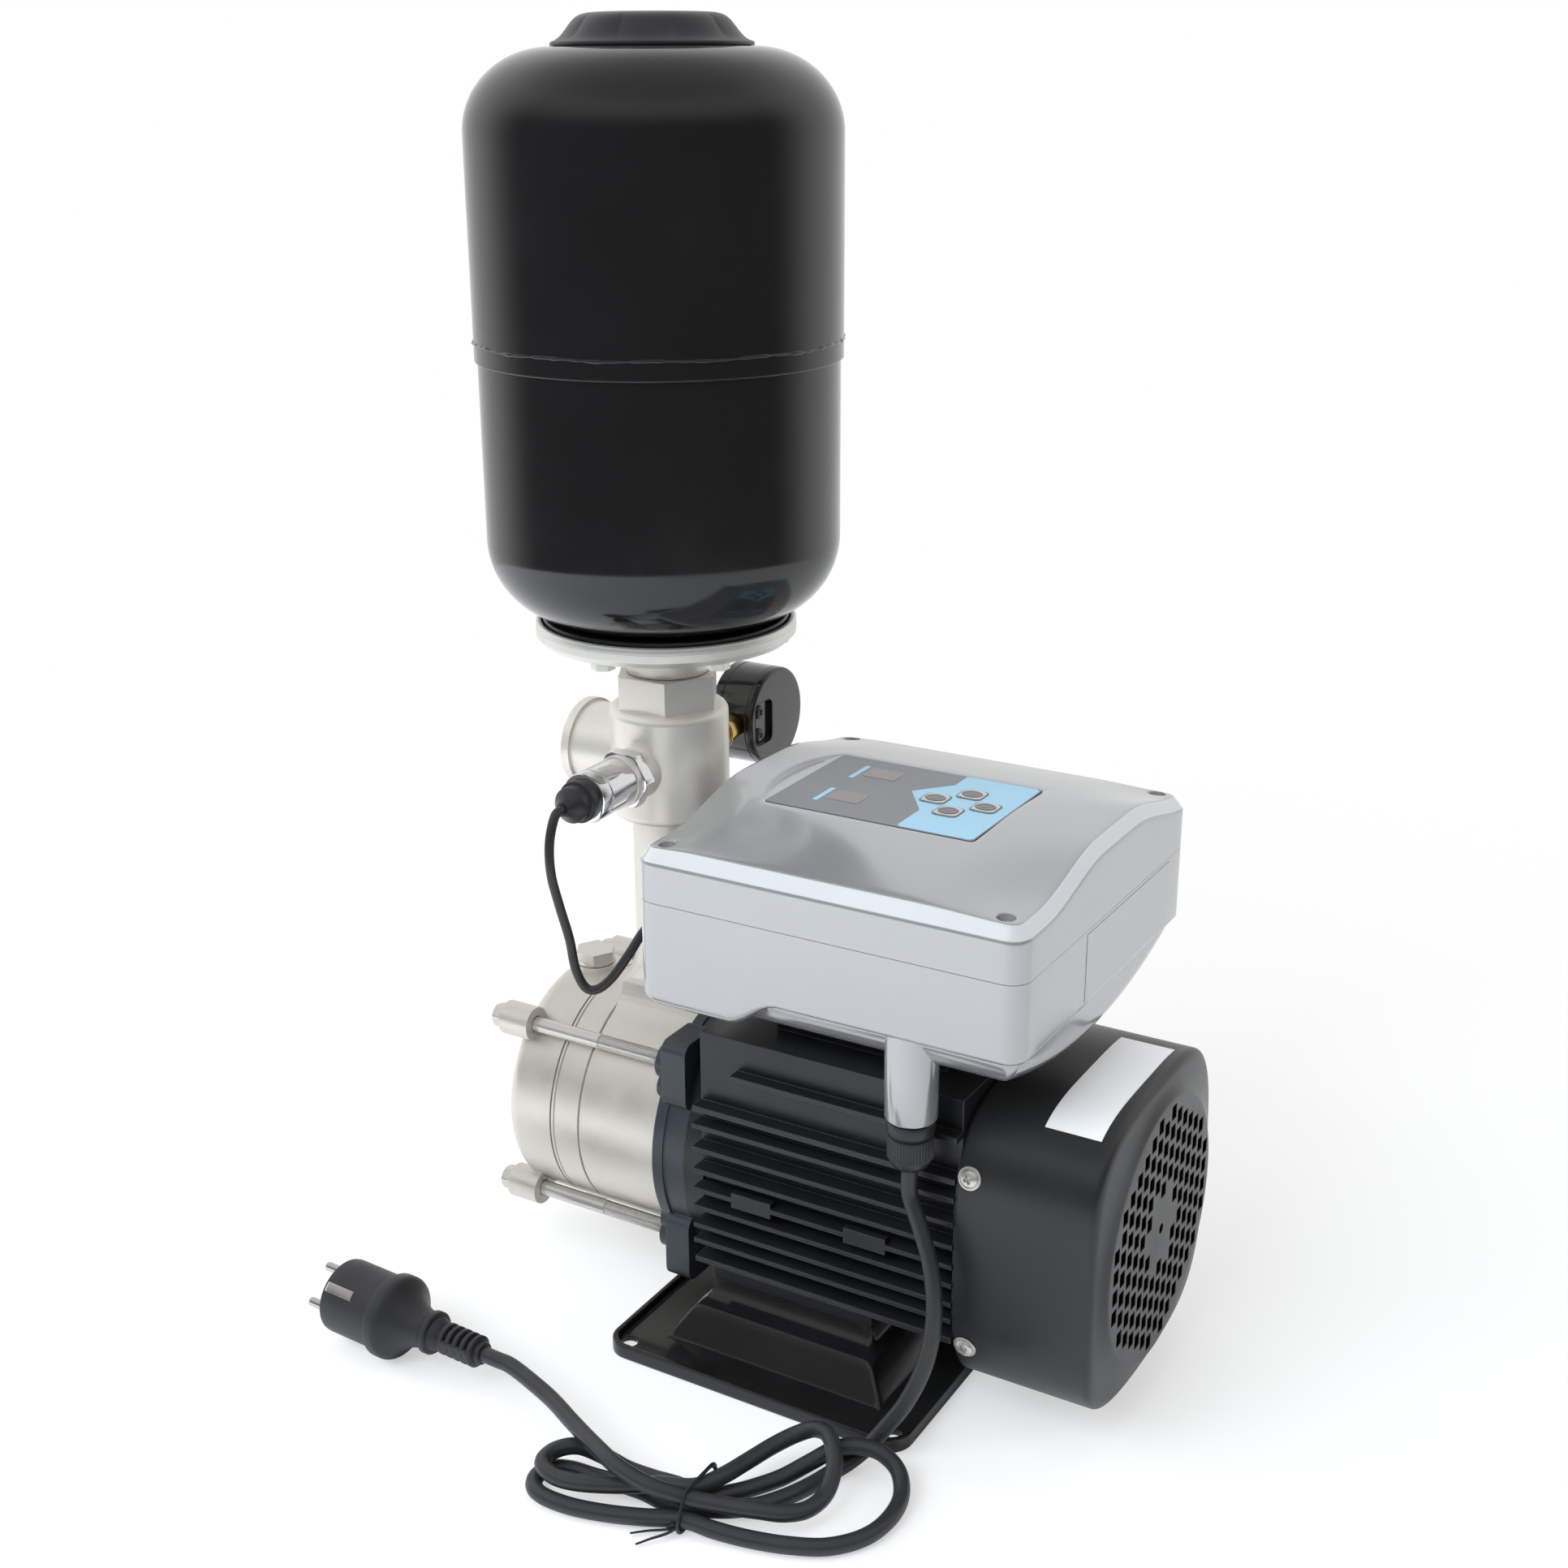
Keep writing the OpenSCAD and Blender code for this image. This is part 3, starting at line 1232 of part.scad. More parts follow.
module inverter_housing() color("#a9abae") at_axis() difference() {
    union() {
        difference() {
            union() {
                intersection() {
                    box_prism(box_floor_z, box_seam, 0);
                    translate([0, box_w, 0]) rotate([90, 0, 0]) linear_extrude(2 * box_w) polygon(skirt_line(0));
                }
                box_pan(0, box_floor_z);
                translate([gland_x, gland_y, gland_stub_end])
                    cylinder(h = box_seam - skirt_h - gland_stub_end, r = gland_stub_r);
                translate([-motor_x0 / 2 - platform_l / 2, -platform_half, platform_top])
                    cube([platform_l, 2 * platform_half, box_seam - skirt_h - platform_top]);
            }
            intersection() {
                box_prism(box_floor_z, box_seam + over, box_wall + belly_inset);
                slab_x(box_x0, box_x0 + box_l) translate([0, over]) polygon(belly(box_floor_z + box_wall - over, box_w / 2));
            }
            intersection() {
                box_prism(box_floor_z, box_seam + over, box_wall);
                translate([0, box_w, 0]) rotate([90, 0, 0]) linear_extrude(2 * box_w)
                    polygon(skirt_line(2 * box_wall));
            }
            box_prism(box_seam - over, box_seam + over, box_wall);
        }
        for (sx = [-1, 1], sy = [-1, 1]) translate([box_cx + sx * (box_l / 2 - post_in), sy * (box_w / 2 - post_in), box_floor_z + belly_rise / 2])
            cylinder(h = board_z - box_floor_z - belly_rise / 2, r = post_r);
        for (sx = [-1, 1], sy = [-1, 1]) translate([box_cx + sx * (box_l / 2 - screw_in_x), sy * (box_w / 2 - screw_in_y), box_seam - skirt_h / 2]) {
            cylinder(h = skirt_h / 2, r = post_r + over);
            translate([-over, sy > 0 ? 0 : over - screw_in_y, 0]) cube([2 * over, screw_in_y - over, skirt_h / 2]);
        }
        translate([0, sensor_entry[0], sensor_entry[1]]) rod_x(box_x0 - cord_boss_l, box_x0 + over, cord_boss_r);
    }
    for (sx = [-1, 1], sy = [-1, 1]) translate([box_cx + sx * (box_l / 2 - screw_in_x), sy * (box_w / 2 - screw_in_y), box_seam - skirt_h / 3])
        cylinder(h = skirt_h, r = lid_screw_r + fit);
}

lid_screw_r = 1.8;
lid_screw_head_r = 3.6;
lid_screw_l = 34;
lid_well_r = 4.2;
lid_well_deep = 4;

function arch(half, rise, drop, inset) = concat(
    [for (i = [-12 : 12]) [half * i / 12 * (1 - inset / half), lid_edge_h - drop + rise * (1 - pow(i / 12, 2))]],
    [[half - inset, 0], [-half + inset, 0]]
);

module lid_form(inset, drop) {
    hull() for (step = [0, 1]) intersection() {
        box_prism(box_seam, box_seam + lid_edge_h + lid_crown, inset + step * lid_bevel, $fn = hull_fn);
        slab_x(box_x0, box_x0 + box_l) translate([0, box_seam])
            polygon(arch(box_w / 2, lid_crown, drop + (1 - step) * lid_bevel * bevel_share, inset));
    }
}

panel_x = 27;
panel_y = 2;
panel_t = 1.2;
bevel_share = 1.35;
panel_under = 2.2;
panel_z = box_seam + lid_edge_h + lid_crown - panel_under;
pocket_slope = 4;
key_end_in = 26;
key_x = panel_x + panel_l / 2 - key_end_in;
key_y = panel_y + 2.5;
key_places = [[0, key_ring_r], [0, -key_ring_r], [key_ring_r, 0], [-key_ring_r, 0]];
key_flange = 0.8;
key_flange_t = 1;
key_rise = 1;

module at_key(i) {
    translate([key_x + key_places[i][0], key_y + key_places[i][1], 0]) children();
}

module inverter_lid() color("#b4b6b9") at_axis() difference() {
    lid_form(0, 0);
    difference() {
        translate([0, 0, -over]) lid_form(box_wall, box_wall);
        for (sx = [-1, 1], sy = [-1, 1]) translate([box_cx + sx * (box_l / 2 - screw_in_x), sy * (box_w / 2 - screw_in_y), box_seam])
            cylinder(h = lid_edge_h, r = lid_screw_head_r + over);
        translate([panel_x, panel_y, panel_z - panel_t - box_wall])
            linear_extrude(lid_crown) square([panel_l + 2 * box_wall, panel_w + 2 * box_wall], center = true);
    }
    hull() {
        translate([panel_x, panel_y, panel_z - panel_t]) linear_extrude(panel_t) square([panel_l + 2 * gap, panel_w + 2 * gap], center = true);
        translate([panel_x - pocket_slope / 2, panel_y, panel_z + panel_under + over])
            linear_extrude(over) square([panel_l + 2 * pocket_slope, panel_w + 2 * pocket_slope], center = true);
    }
    for (i = [0 : 3]) at_key(i) translate([0, 0, panel_z - panel_t - box_wall - over])
        linear_extrude(box_wall + panel_t + 2 * over) square(key_w + 2 * gap, center = true);
    for (sx = [-1, 1], sy = [-1, 1]) translate([box_cx + sx * (box_l / 2 - screw_in_x), sy * (box_w / 2 - screw_in_y), box_seam - over]) {
        cylinder(h = lid_edge_h + lid_crown, r = lid_screw_r + gap);
        translate([0, 0, lid_edge_h - lid_well_deep + over]) cylinder(h = lid_crown + lid_well_deep, r = lid_well_r);
    }
}

module lid_screws() color("#8b8c8e") at_axis()
    for (sx = [-1, 1], sy = [-1, 1]) translate([box_cx + sx * (box_l / 2 - screw_in_x), sy * (box_w / 2 - screw_in_y), box_seam + lid_edge_h - lid_well_deep]) {
        cylinder(h = 2 * over, r = lid_screw_head_r);
        translate([0, 0, -lid_screw_l + over]) cylinder(h = lid_screw_l, r = lid_screw_r);
    }

module keypad_panel() color("#6f7276") at_axis() difference() {
    translate([panel_x, panel_y, panel_z - panel_t]) linear_extrude(panel_t) round_square(panel_l, panel_w, 2 * over);
    for (i = [0 : 3]) at_key(i) translate([0, 0, panel_z - 2 * panel_t])
        linear_extrude(3 * panel_t) square(key_w + 2 * gap, center = true);
}

module key(i) {
    at_axis() at_key(i) {
        translate([0, 0, panel_z - panel_t - box_wall - gap])
            linear_extrude(box_wall + panel_t + gap) round_square(key_w, key_w, 2 * over);
        translate([0, 0, panel_z - panel_t - box_wall - gap - key_flange_t])
            linear_extrude(key_flange_t) square(key_w + 2 * key_flange, center = true);
        translate([0, 0, panel_z]) cylinder(h = key_rise, r1 = key_w / 2 - over / 2, r2 = key_w / 2 - 2 * over);
    }
}

module key_up() color("#8f8f8c") key(0);

module key_down() color("#8f8f8c") key(1);

module key_right() color("#8f8f8c") key(2);

module key_left() color("#8f8f8c") key(3);

// Circuit board with its heat sink, capacitors and coil
board_t = 1.6;
board_in = 18;
cap_can_r = 11;
cap_can_h = 28;

module circuit_board() color("#2e5d3a") at_axis() {
    translate([box_cx - box_l / 2 + board_in, -box_w / 2 + board_in, board_z]) cube([box_l - 2 * board_in, box_w - 2 * board_in, board_t]);
    for (i = [0 : 2]) translate([box_cx - box_l / 4 + i * 3 * cap_can_r, -box_w / 4, board_z + board_t - joint_gap])
        cylinder(h = cap_can_h, r = cap_can_r);
    for (i = [0 : 9]) translate([box_cx - box_l / 4 + i * 8, box_w / 8, board_z + board_t - joint_gap]) cube([2, box_w / 5, cap_can_h * 0.8]);
    translate([box_cx - box_l / 4, box_w / 8, board_z + board_t - joint_gap]) cube([9 * 8 + 2, box_w / 5, 3]);
}

// Cable gland under the box's corner
gland_ring_l = 6;
gland_nut_l = 14;
gland_nut_r = 11;
gland_ribs = 12;

module cable_gland() color("#1a1b1d") at_axis() translate([gland_x, gland_y, gland_stub_end]) {
    translate([0, 0, -gland_ring_l]) cylinder(h = gland_ring_l, r = gland_stub_r - over / 2);
    translate([0, 0, -gland_ring_l - gland_nut_l]) {
        cylinder(h = gland_nut_l, r1 = gland_nut_r - 2 * over, r2 = gland_nut_r);
        for (i = [0 : gland_ribs - 1]) rotate([0, 0, i * 360 / gland_ribs])
            translate([gland_nut_r - 1.5 * over, -over, gland_nut_l / 4]) cube([over * 1.5, 2 * over, gland_nut_l * 3 / 4]);
    }
}

// Mains cord: down from the gland, through the tie, round a fold, a wide loop, a second
// fold and an inner loop, each through the tie again, and off to the plug
plug_z = plug_collar_d / 2 + joint_gap;
plug_at = [-114, -160];
gland_end = axis_h + gland_stub_end - gland_ring_l - gland_nut_l;
cord_drop = [
    [gland_x, gland_y, gland_end], [77, -85, 129], [83, -87, 116], [91, -90.5, 98], [95.5, -95, 76],
    [94, -99.5, 54], [87.5, -104.5, 34], [79, -108.5, 19], [72, -114, 8.5], [67.5, -122, 4.5],
    [64, -132, 4], [60, -145, 4], [54, -158, 4], [46, -169.5, 4], [36.5, -178.5, 4.5],
    [24, -186, 5.5],
];
first_fold = [
    [10, -188, 4], [-4, -187, 4], [-18, -188, 4], [-29, -189.5, 4], [-40, -190.5, 4],
    [-48, -194, 4], [-51.5, -201, 4], [-48.5, -208.5, 4], [-40.5, -212, 4], [-26, -211.5, 4],
    [-10, -207.5, 4], [6, -202, 4.5], [24, -195, 5.5],
];
wide_loop = [
    [38, -193, 4.5], [53, -190, 4], [70, -185, 4], [86, -177, 4], [97, -164, 4], [101, -148.5, 4],
    [99.5, -133, 5], [92.5, -122, 8.5], [82.5, -119.5, 13], [72.5, -121.5, 14], [63, -127, 13],
    [54.5, -136.5, 8.5], [46.5, -148, 5], [38.5, -159, 4], [32, -168, 4.5], [24, -176.5, 5.5],
];
second_fold = [
    [10, -179, 7.5], [-4, -178.5, 5.5], [-18, -178.5, 5], [-30, -180, 8.5], [-41, -184.5, 12.5], [-48, -193, 13],
    [-47.5, -202.5, 13], [-38.5, -207, 12.5], [-26.5, -205.5, 12.5], [-11, -198.5, 12.5], [6, -188.5, 12.5], [21.5, -182.5, 13.5],
];
inner_loop = [
    [28.5, -171, 14], [32.5, -156.5, 13.5], [38, -141, 14.5], [45, -131, 17], [53, -128, 20.5],
    [61.5, -130.5, 21], [69.5, -140.5, 16.5], [73, -154, 11.5], [71, -166.5, 10.5],
    [64, -175.5, 11.5], [54, -180.5, 12.5], [40, -185, 12.5], [24.5, -190.5, 14],
];
plug_strand = [
    [8.5, -197, 18.5], [-8.5, -197, 21.5], [-26.5, -190, 21.5], [-46, -180.5, 20.5],
    [-66, -170.5, 20], [-86, -163.5, 20.5], [-98, -160.8, 21.5], [-106, -160.4, 21.5],
    [plug_at[0], plug_at[1], plug_z],
];
cord_points = concat(cord_drop, first_fold, wide_loop, second_fold, inner_loop, plug_strand);

function spline_point(p, i, t) =
    let (
        n = len(p) - 1,
        a = p[max(i - 1, 0)],
        b = p[i],
        c = p[min(i + 1, n)],
        d = p[min(i + 2, n)]
    ) 0.5 * (2 * b + (c - a) * t + (2 * a - 5 * b + 4 * c - d) * t * t + (3 * b - a - 3 * c + d) * t * t * t);
function spline(p, steps) = concat(
    [for (i = [0 : len(p) - 2], k = [0 : steps - 1]) spline_point(p, i, k / steps)],
    [p[len(p) - 1]]
);

// Least distance between two turns of a tube, less its diameter, measured on its points
function least_gap(q, d, apart) = min([for (i = [0 : len(q) - 1 - apart], j = [i + apart : len(q) - 1])
    norm(q[i] - q[j])]) - d;
power_cord_line = spline(cord_points, 2);
echo(power_cord_least_gap_to_itself = least_gap(power_cord_line, cord_d, 4));

module power_cord() color("#2c2e31") sweep_tube(power_cord_line, cord_d / 2, 8, [1, 0, 0],
    [0, 0, -1], [cos(plug_turn), sin(plug_turn), 0]);

// Tie: a flat band round the five strands, with two twisted ends
tie_x = 24;
tie_w = 3;
tie_t = 0.6;
tie_slack = 1;
tie_strands = [[-186, 5.5], [-195.5, 5.5], [-174.5, 5.5], [-173.6, 14.2], [-191, 14.3]];
tie_ends = [[-19, -11], [-13, -16]];
tie_end_z = 5;

module tie_outline(r) {
    hull() for (strand = tie_strands) translate(strand) circle(r, $fn = hull_fn);
}

module cord_tie() color("#151617") {
    slab_x(tie_x - tie_w / 2, tie_x + tie_w / 2) difference() {
        tie_outline(cord_d / 2 + tie_slack + tie_t);
        tie_outline(cord_d / 2 + tie_slack);
    }
    for (end = tie_ends)
        translate([tie_x, tie_strands[1][0] - cord_d / 2 - tie_slack - tie_t / 2, tie_end_z])
            rotate([0, 0, atan2(end[1], end[0])]) rotate([0, 97, 0])
                cylinder(h = norm(end), r1 = tie_slack, r2 = tie_t);
}

// Sensor cord: a slack loop from the sensor's gland into the box's end wall
sensor_cord_points = [
    [riser_x, -sensor_end, axis_h + fitting_port_z], [-105, -97, 281], [-105, -102, 269], [-104, -103, 254],
    [-103, -99, 237], [-101, -95, 219], [-99, -94, 204], [-95, -92, 194], [-90, -89, 193], [-84, -85, 199],
    [-78, -79.5, 210], [-74, -73.5, 219.5], [box_x0 - cord_boss_l - sensor_cord_d, sensor_entry[0], axis_h + sensor_entry[1]],
    [box_x0 - cord_boss_l, sensor_entry[0], axis_h + sensor_entry[1]]
];

module sensor_cord() color("#1c1d1f") sweep_tube(spline(sensor_cord_points, 3), sensor_cord_d / 2, 8, [1, 0, 0],
    [0, -1, 0], [1, 0, 0]);

// Plug, lying on its collar, and its pins
plug_turn = 177;
plug_roll = 30;
plug_relief_l = 32;
plug_l = 93;
plug_collar_l = 9;
plug_barrel_l = 26;

module plug_frame() {
    translate([plug_at[0], plug_at[1], plug_z]) rotate([0, 0, plug_turn]) rotate([0, 90, 0]) children();
}

module plug_body() color("#232427") plug_frame() rotate_extrude() polygon([
    [0, 0],
    [cord_d / 2 + over, 0],
    [cord_d / 2 + 3 * over, plug_relief_l * 0.8],
    [plug_front_d / 3, plug_relief_l],
    [plug_front_d / 3, plug_l - plug_collar_l - plug_barrel_l - 2 * over],
    [plug_collar_d / 2, plug_l - plug_collar_l - plug_barrel_l],
    [plug_collar_d / 2, plug_l - plug_barrel_l],
    [plug_front_d / 2, plug_l - plug_barrel_l + over],
    [plug_front_d / 2, plug_l - over],
    [plug_front_d / 2 - over, plug_l],
    [0, plug_l]
]);

module plug_pins() color("#d9dadc") plug_frame() rotate([0, 0, plug_roll]) for (side = [-1, 1])
    translate([0, side * pin_pitch / 2, plug_l]) cylinder(h = pin_l, r = pin_d / 2);

base_plate();
motor_housing();
stator_core();
stator_windings();
front_bracket();
rear_endshield();
bearing_outer_rings();
bearing_inner_rings();
bearing_balls();
shaft();
rotor_core();
impellers();
impeller_nut();
stage_chambers();
guide_vanes();
front_cover();
casing_sleeve();
discharge_casing();
casing_o_rings();
seal_seat();
seal_rotary();
cooling_fan();
fan_cover();
fan_cover_screws();
tie_bolts();
filler_plug();
drain_plug();
five_way_body();
valve_poppet();
valve_spring();
tank_nipple();
tank_flange();
flange_bolts();
tank_lower_shell();
tank_upper_shell();
tank_bladder();
air_valve();
tank_cap();
pressure_sensor();
sensor_gland();
sensor_cord();
gauge_case();
gauge_dial();
gauge_lens();
gauge_needle();
inverter_housing();
inverter_lid();
lid_screws();
keypad_panel();
key_left();
key_right();
key_up();
key_down();
circuit_board();
cable_gland();
power_cord();
cord_tie();
plug_body();
plug_pins();
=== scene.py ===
"""Garden pump with its pressure tank and motor controller, dressed for the photograph."""

import json
import math

import bmesh
import bpy
from mathutils import Matrix, Vector

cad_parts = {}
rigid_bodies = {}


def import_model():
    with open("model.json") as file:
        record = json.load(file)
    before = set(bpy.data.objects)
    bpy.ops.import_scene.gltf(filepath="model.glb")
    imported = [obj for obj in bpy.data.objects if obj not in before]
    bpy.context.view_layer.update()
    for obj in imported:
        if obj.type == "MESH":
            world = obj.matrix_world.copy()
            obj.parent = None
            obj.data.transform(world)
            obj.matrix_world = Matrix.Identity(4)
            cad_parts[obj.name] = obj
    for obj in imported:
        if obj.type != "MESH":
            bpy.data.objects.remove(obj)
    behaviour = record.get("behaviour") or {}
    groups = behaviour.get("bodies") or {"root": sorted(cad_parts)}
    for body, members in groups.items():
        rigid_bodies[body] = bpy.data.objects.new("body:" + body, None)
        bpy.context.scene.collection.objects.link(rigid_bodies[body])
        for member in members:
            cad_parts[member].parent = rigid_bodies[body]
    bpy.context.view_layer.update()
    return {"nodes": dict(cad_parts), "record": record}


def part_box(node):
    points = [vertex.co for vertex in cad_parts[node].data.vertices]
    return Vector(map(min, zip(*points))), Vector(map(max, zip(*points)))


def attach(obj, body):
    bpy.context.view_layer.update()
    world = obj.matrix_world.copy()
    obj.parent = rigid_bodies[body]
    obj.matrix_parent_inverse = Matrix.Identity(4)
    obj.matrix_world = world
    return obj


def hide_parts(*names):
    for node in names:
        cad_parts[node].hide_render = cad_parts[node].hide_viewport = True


for startup_object in list(bpy.data.objects):
    bpy.data.objects.remove(startup_object)
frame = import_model()

MM = 0.001
SHAFT_Z = 91.5
RISER_X = -105.0
TURN = 2 * math.pi


def new_object(name, data):
    """Object for the data, linked into the scene."""
    made = bpy.data.objects.new(name, data)
    bpy.context.scene.collection.objects.link(made)
    return made


# Camera

PHOTO_PX, FOCAL_PX, SENSOR_MM = 1932, 2503.58, 36


def place_camera():
    """Stand the camera where the photograph was taken from."""
    position = Vector((0.4382, -0.80682, 0.610))
    heading, dip, roll = (math.radians(a) for a in (30.56, 19.45, -0.27))
    ahead = Vector((
        -math.sin(heading) * math.cos(dip),
        math.cos(heading) * math.cos(dip),
        -math.sin(dip),
    ))
    right = Vector((math.cos(heading), math.sin(heading), 0))
    above = right.cross(ahead)
    side = right * math.cos(roll) + above * math.sin(roll)
    up = above * math.cos(roll) - right * math.sin(roll)
    data = bpy.data.cameras.new("photo_camera")
    data.sensor_width = SENSOR_MM
    data.lens = FOCAL_PX / PHOTO_PX * SENSOR_MM
    data.clip_start = 0.05
    camera = new_object("photo_camera", data)
    camera.matrix_world = Matrix((
        (side.x, up.x, -ahead.x, position.x),
        (side.y, up.y, -ahead.y, position.y),
        (side.z, up.z, -ahead.z, position.z),
        (0, 0, 0, 1),
    ))
    bpy.context.scene.camera = camera


place_camera()


# Mesh helpers

def mesh_object(name, bm):
    """Object in metres from a bmesh in millimetres, with its faces turned outward."""
    for vert in bm.verts:
        vert.co *= MM
    bmesh.ops.recalc_face_normals(bm, faces=bm.faces)
    mesh = bpy.data.meshes.new(name)
    bm.to_mesh(mesh)
    bm.free()
    return new_object(name, mesh)


def smooth_mesh(mesh, sharp):
    """Shade smooth, but for edges over the sharp angle in degrees."""
    mesh.shade_smooth()
    mesh.set_sharp_from_angle(angle=math.radians(sharp))


def add_mesh(name, bm, body, material, replaces=(), sharp=40):
    """Turn a bmesh in millimetres into a piece that rides on a body."""
    made = mesh_object(name, bm)
    smooth_mesh(made.data, sharp)
    return settle(made, body, material, replaces)


def settle(made, body, material, replaces=()):
    """Give a piece its material and body, and hide the nodes that it stands for."""
    made.data.materials.append(material)
    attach(made, body)
    if replaces:
        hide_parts(*replaces)
    return made


def box_mm(node):
    """Low and high corner of a node's box, in millimetres."""
    return [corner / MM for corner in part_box(node)]


def along(start, direction, spin=0.0):
    """Matrix with Z along the direction and its origin at the start."""
    z = Vector(direction).normalized()
    rough = Vector((0, 0, 1)) if abs(z.z) < 0.9 else Vector((1, 0, 0))
    x = rough.cross(z).normalized()
    y = z.cross(x)
    turn = Matrix((x, y, z)).transposed().to_4x4()
    return Matrix.Translation(Vector(start)) @ turn @ Matrix.Rotation(spin, 4, "Z")


def bridge(bm, rings, closed=False):
    """Join rings of equal length into a tube; a ring of one point is a pole."""
    pairs = list(zip(rings, rings[1:]))
    if closed:
        pairs.append((rings[-1], rings[0]))
    for a, b in pairs:
        count = max(len(a), len(b))
        for i in range(count):
            j = (i + 1) % count
            if len(a) == 1 and len(b) > 1:
                bm.faces.new((a[0], b[i], b[j]))
            elif len(b) == 1 and len(a) > 1:
                bm.faces.new((a[j], a[i], b[0]))
            elif len(a) > 1:
                bm.faces.new((a[j], a[i], b[i], b[j]))


def angled_ring(bm, place, steps, spot_of):
    """Ring of vertices round the Z axis of the place; spot_of gives reach and level."""
    ring = []
    for i in range(steps):
        angle = TURN * i / steps
        reach, level = spot_of(angle)
        ring.append(bm.verts.new(
            place @ Vector((reach * math.cos(angle), reach * math.sin(angle), level))
        ))
    return ring


def lathe(bm, place, profile, steps=48):
    """Turn (radius, height) points round the Z axis of the place; radius 0 is a pole."""
    bridge(bm, [
        angled_ring(bm, place, steps if spot[0] else 1, lambda angle: spot) for spot in profile
    ])


def spline(points, steps):
    """Catmull-Rom line through the points, with the given steps in each span."""
    line = []
    last = len(points) - 1
    for i in range(last):
        p0, p1 = points[max(i - 1, 0)], points[i]
        p2, p3 = points[i + 1], points[min(i + 2, last)]
        for k in range(steps):
            t = k / steps
            line.append((
                p1 * 2 + (p2 - p0) * t + (p0 * 2 - p1 * 5 + p2 * 4 - p3) * t ** 2
                + (p1 * 3 - p0 - p2 * 3 + p3) * t ** 3
            ) / 2)
    line.append(points[-1])
    return line


def tube(bm, line, radius, sides, closed=False, flat=(1, 1)):
    """Sweep a round or flattened section along a line; radius may depend on the share."""
    last = len(line) - 1
    normal = None
    rings = []
    for i, point in enumerate(line):
        if closed:
            tangent = (line[(i + 1) % len(line)] - line[i - 1]).normalized()
        else:
            tangent = (line[min(i + 1, last)] - line[max(i - 1, 0)]).normalized()
        if normal is None:
            seed = Vector((0, 0, 1)) if abs(tangent.z) < 0.9 else Vector((1, 0, 0))
            normal = (seed - tangent * seed.dot(tangent)).normalized()
        else:
            normal = (normal - tangent * normal.dot(tangent)).normalized()
        binormal = tangent.cross(normal)
        size = radius(i / last) if callable(radius) else radius
        rings.append([
            bm.verts.new(
                point + normal * size * flat[0] * math.cos(TURN * k / sides)
                + binormal * size * flat[1] * math.sin(TURN * k / sides)
            )
            for k in range(sides)
        ])
    bridge(bm, rings, closed)
    if not closed:
        bm.faces.new(rings[0])
        bm.faces.new(reversed(rings[-1]))


def prism(bm, place, outline, bottom, top, edge=0.0):
    """Raise an outline between two heights, with a small chamfer round the top."""
    centre = sum((Vector(p) for p in outline), Vector((0, 0))) / len(outline)

    def ring(height, inset):
        made = []
        for p in outline:
            q = Vector(p)
            q = q + (centre - q).normalized() * inset
            made.append(bm.verts.new(place @ Vector((q.x, q.y, height))))
        return made

    rings = [ring(bottom, 0), ring(top - edge, 0)]
    if edge:
        rings.append(ring(top, edge))
    bridge(bm, rings)
    bm.faces.new(reversed(rings[0]))
    bm.faces.new(rings[-1])


def round_rect(width, height, radius, steps=5):
    """Outline of a rectangle with round corners, centred."""
    points = []
    for k, (sx, sy) in enumerate(((1, 1), (-1, 1), (-1, -1), (1, -1))):
        centre = (sx * (width / 2 - radius), sy * (height / 2 - radius))
        points += arc_points(centre, (radius, radius), 90 * k, 90 * k + 90, steps)
    return points


def circle(radius, steps=24):
    """Outline of a circle, as flat points."""
    return [
        (radius * math.cos(TURN * i / steps), radius * math.sin(TURN * i / steps))
        for i in range(steps)
    ]


def arc_points(centre, radii, start, end, steps):
    """Points of an elliptic arc, from one angle in degrees to another."""
    points = []
    for i in range(steps + 1):
        angle = math.radians(start + (end - start) * i / steps)
        points.append((
            centre[0] + radii[0] * math.cos(angle), centre[1] + radii[1] * math.sin(angle),
        ))
    return points


def closed_lathe(bm, place, profile, steps):
    """Turn a profile that comes back to its first point."""
    lathe(bm, place, profile + profile[:1], steps)
    bmesh.ops.remove_doubles(bm, verts=bm.verts, dist=0.001)


# Cords

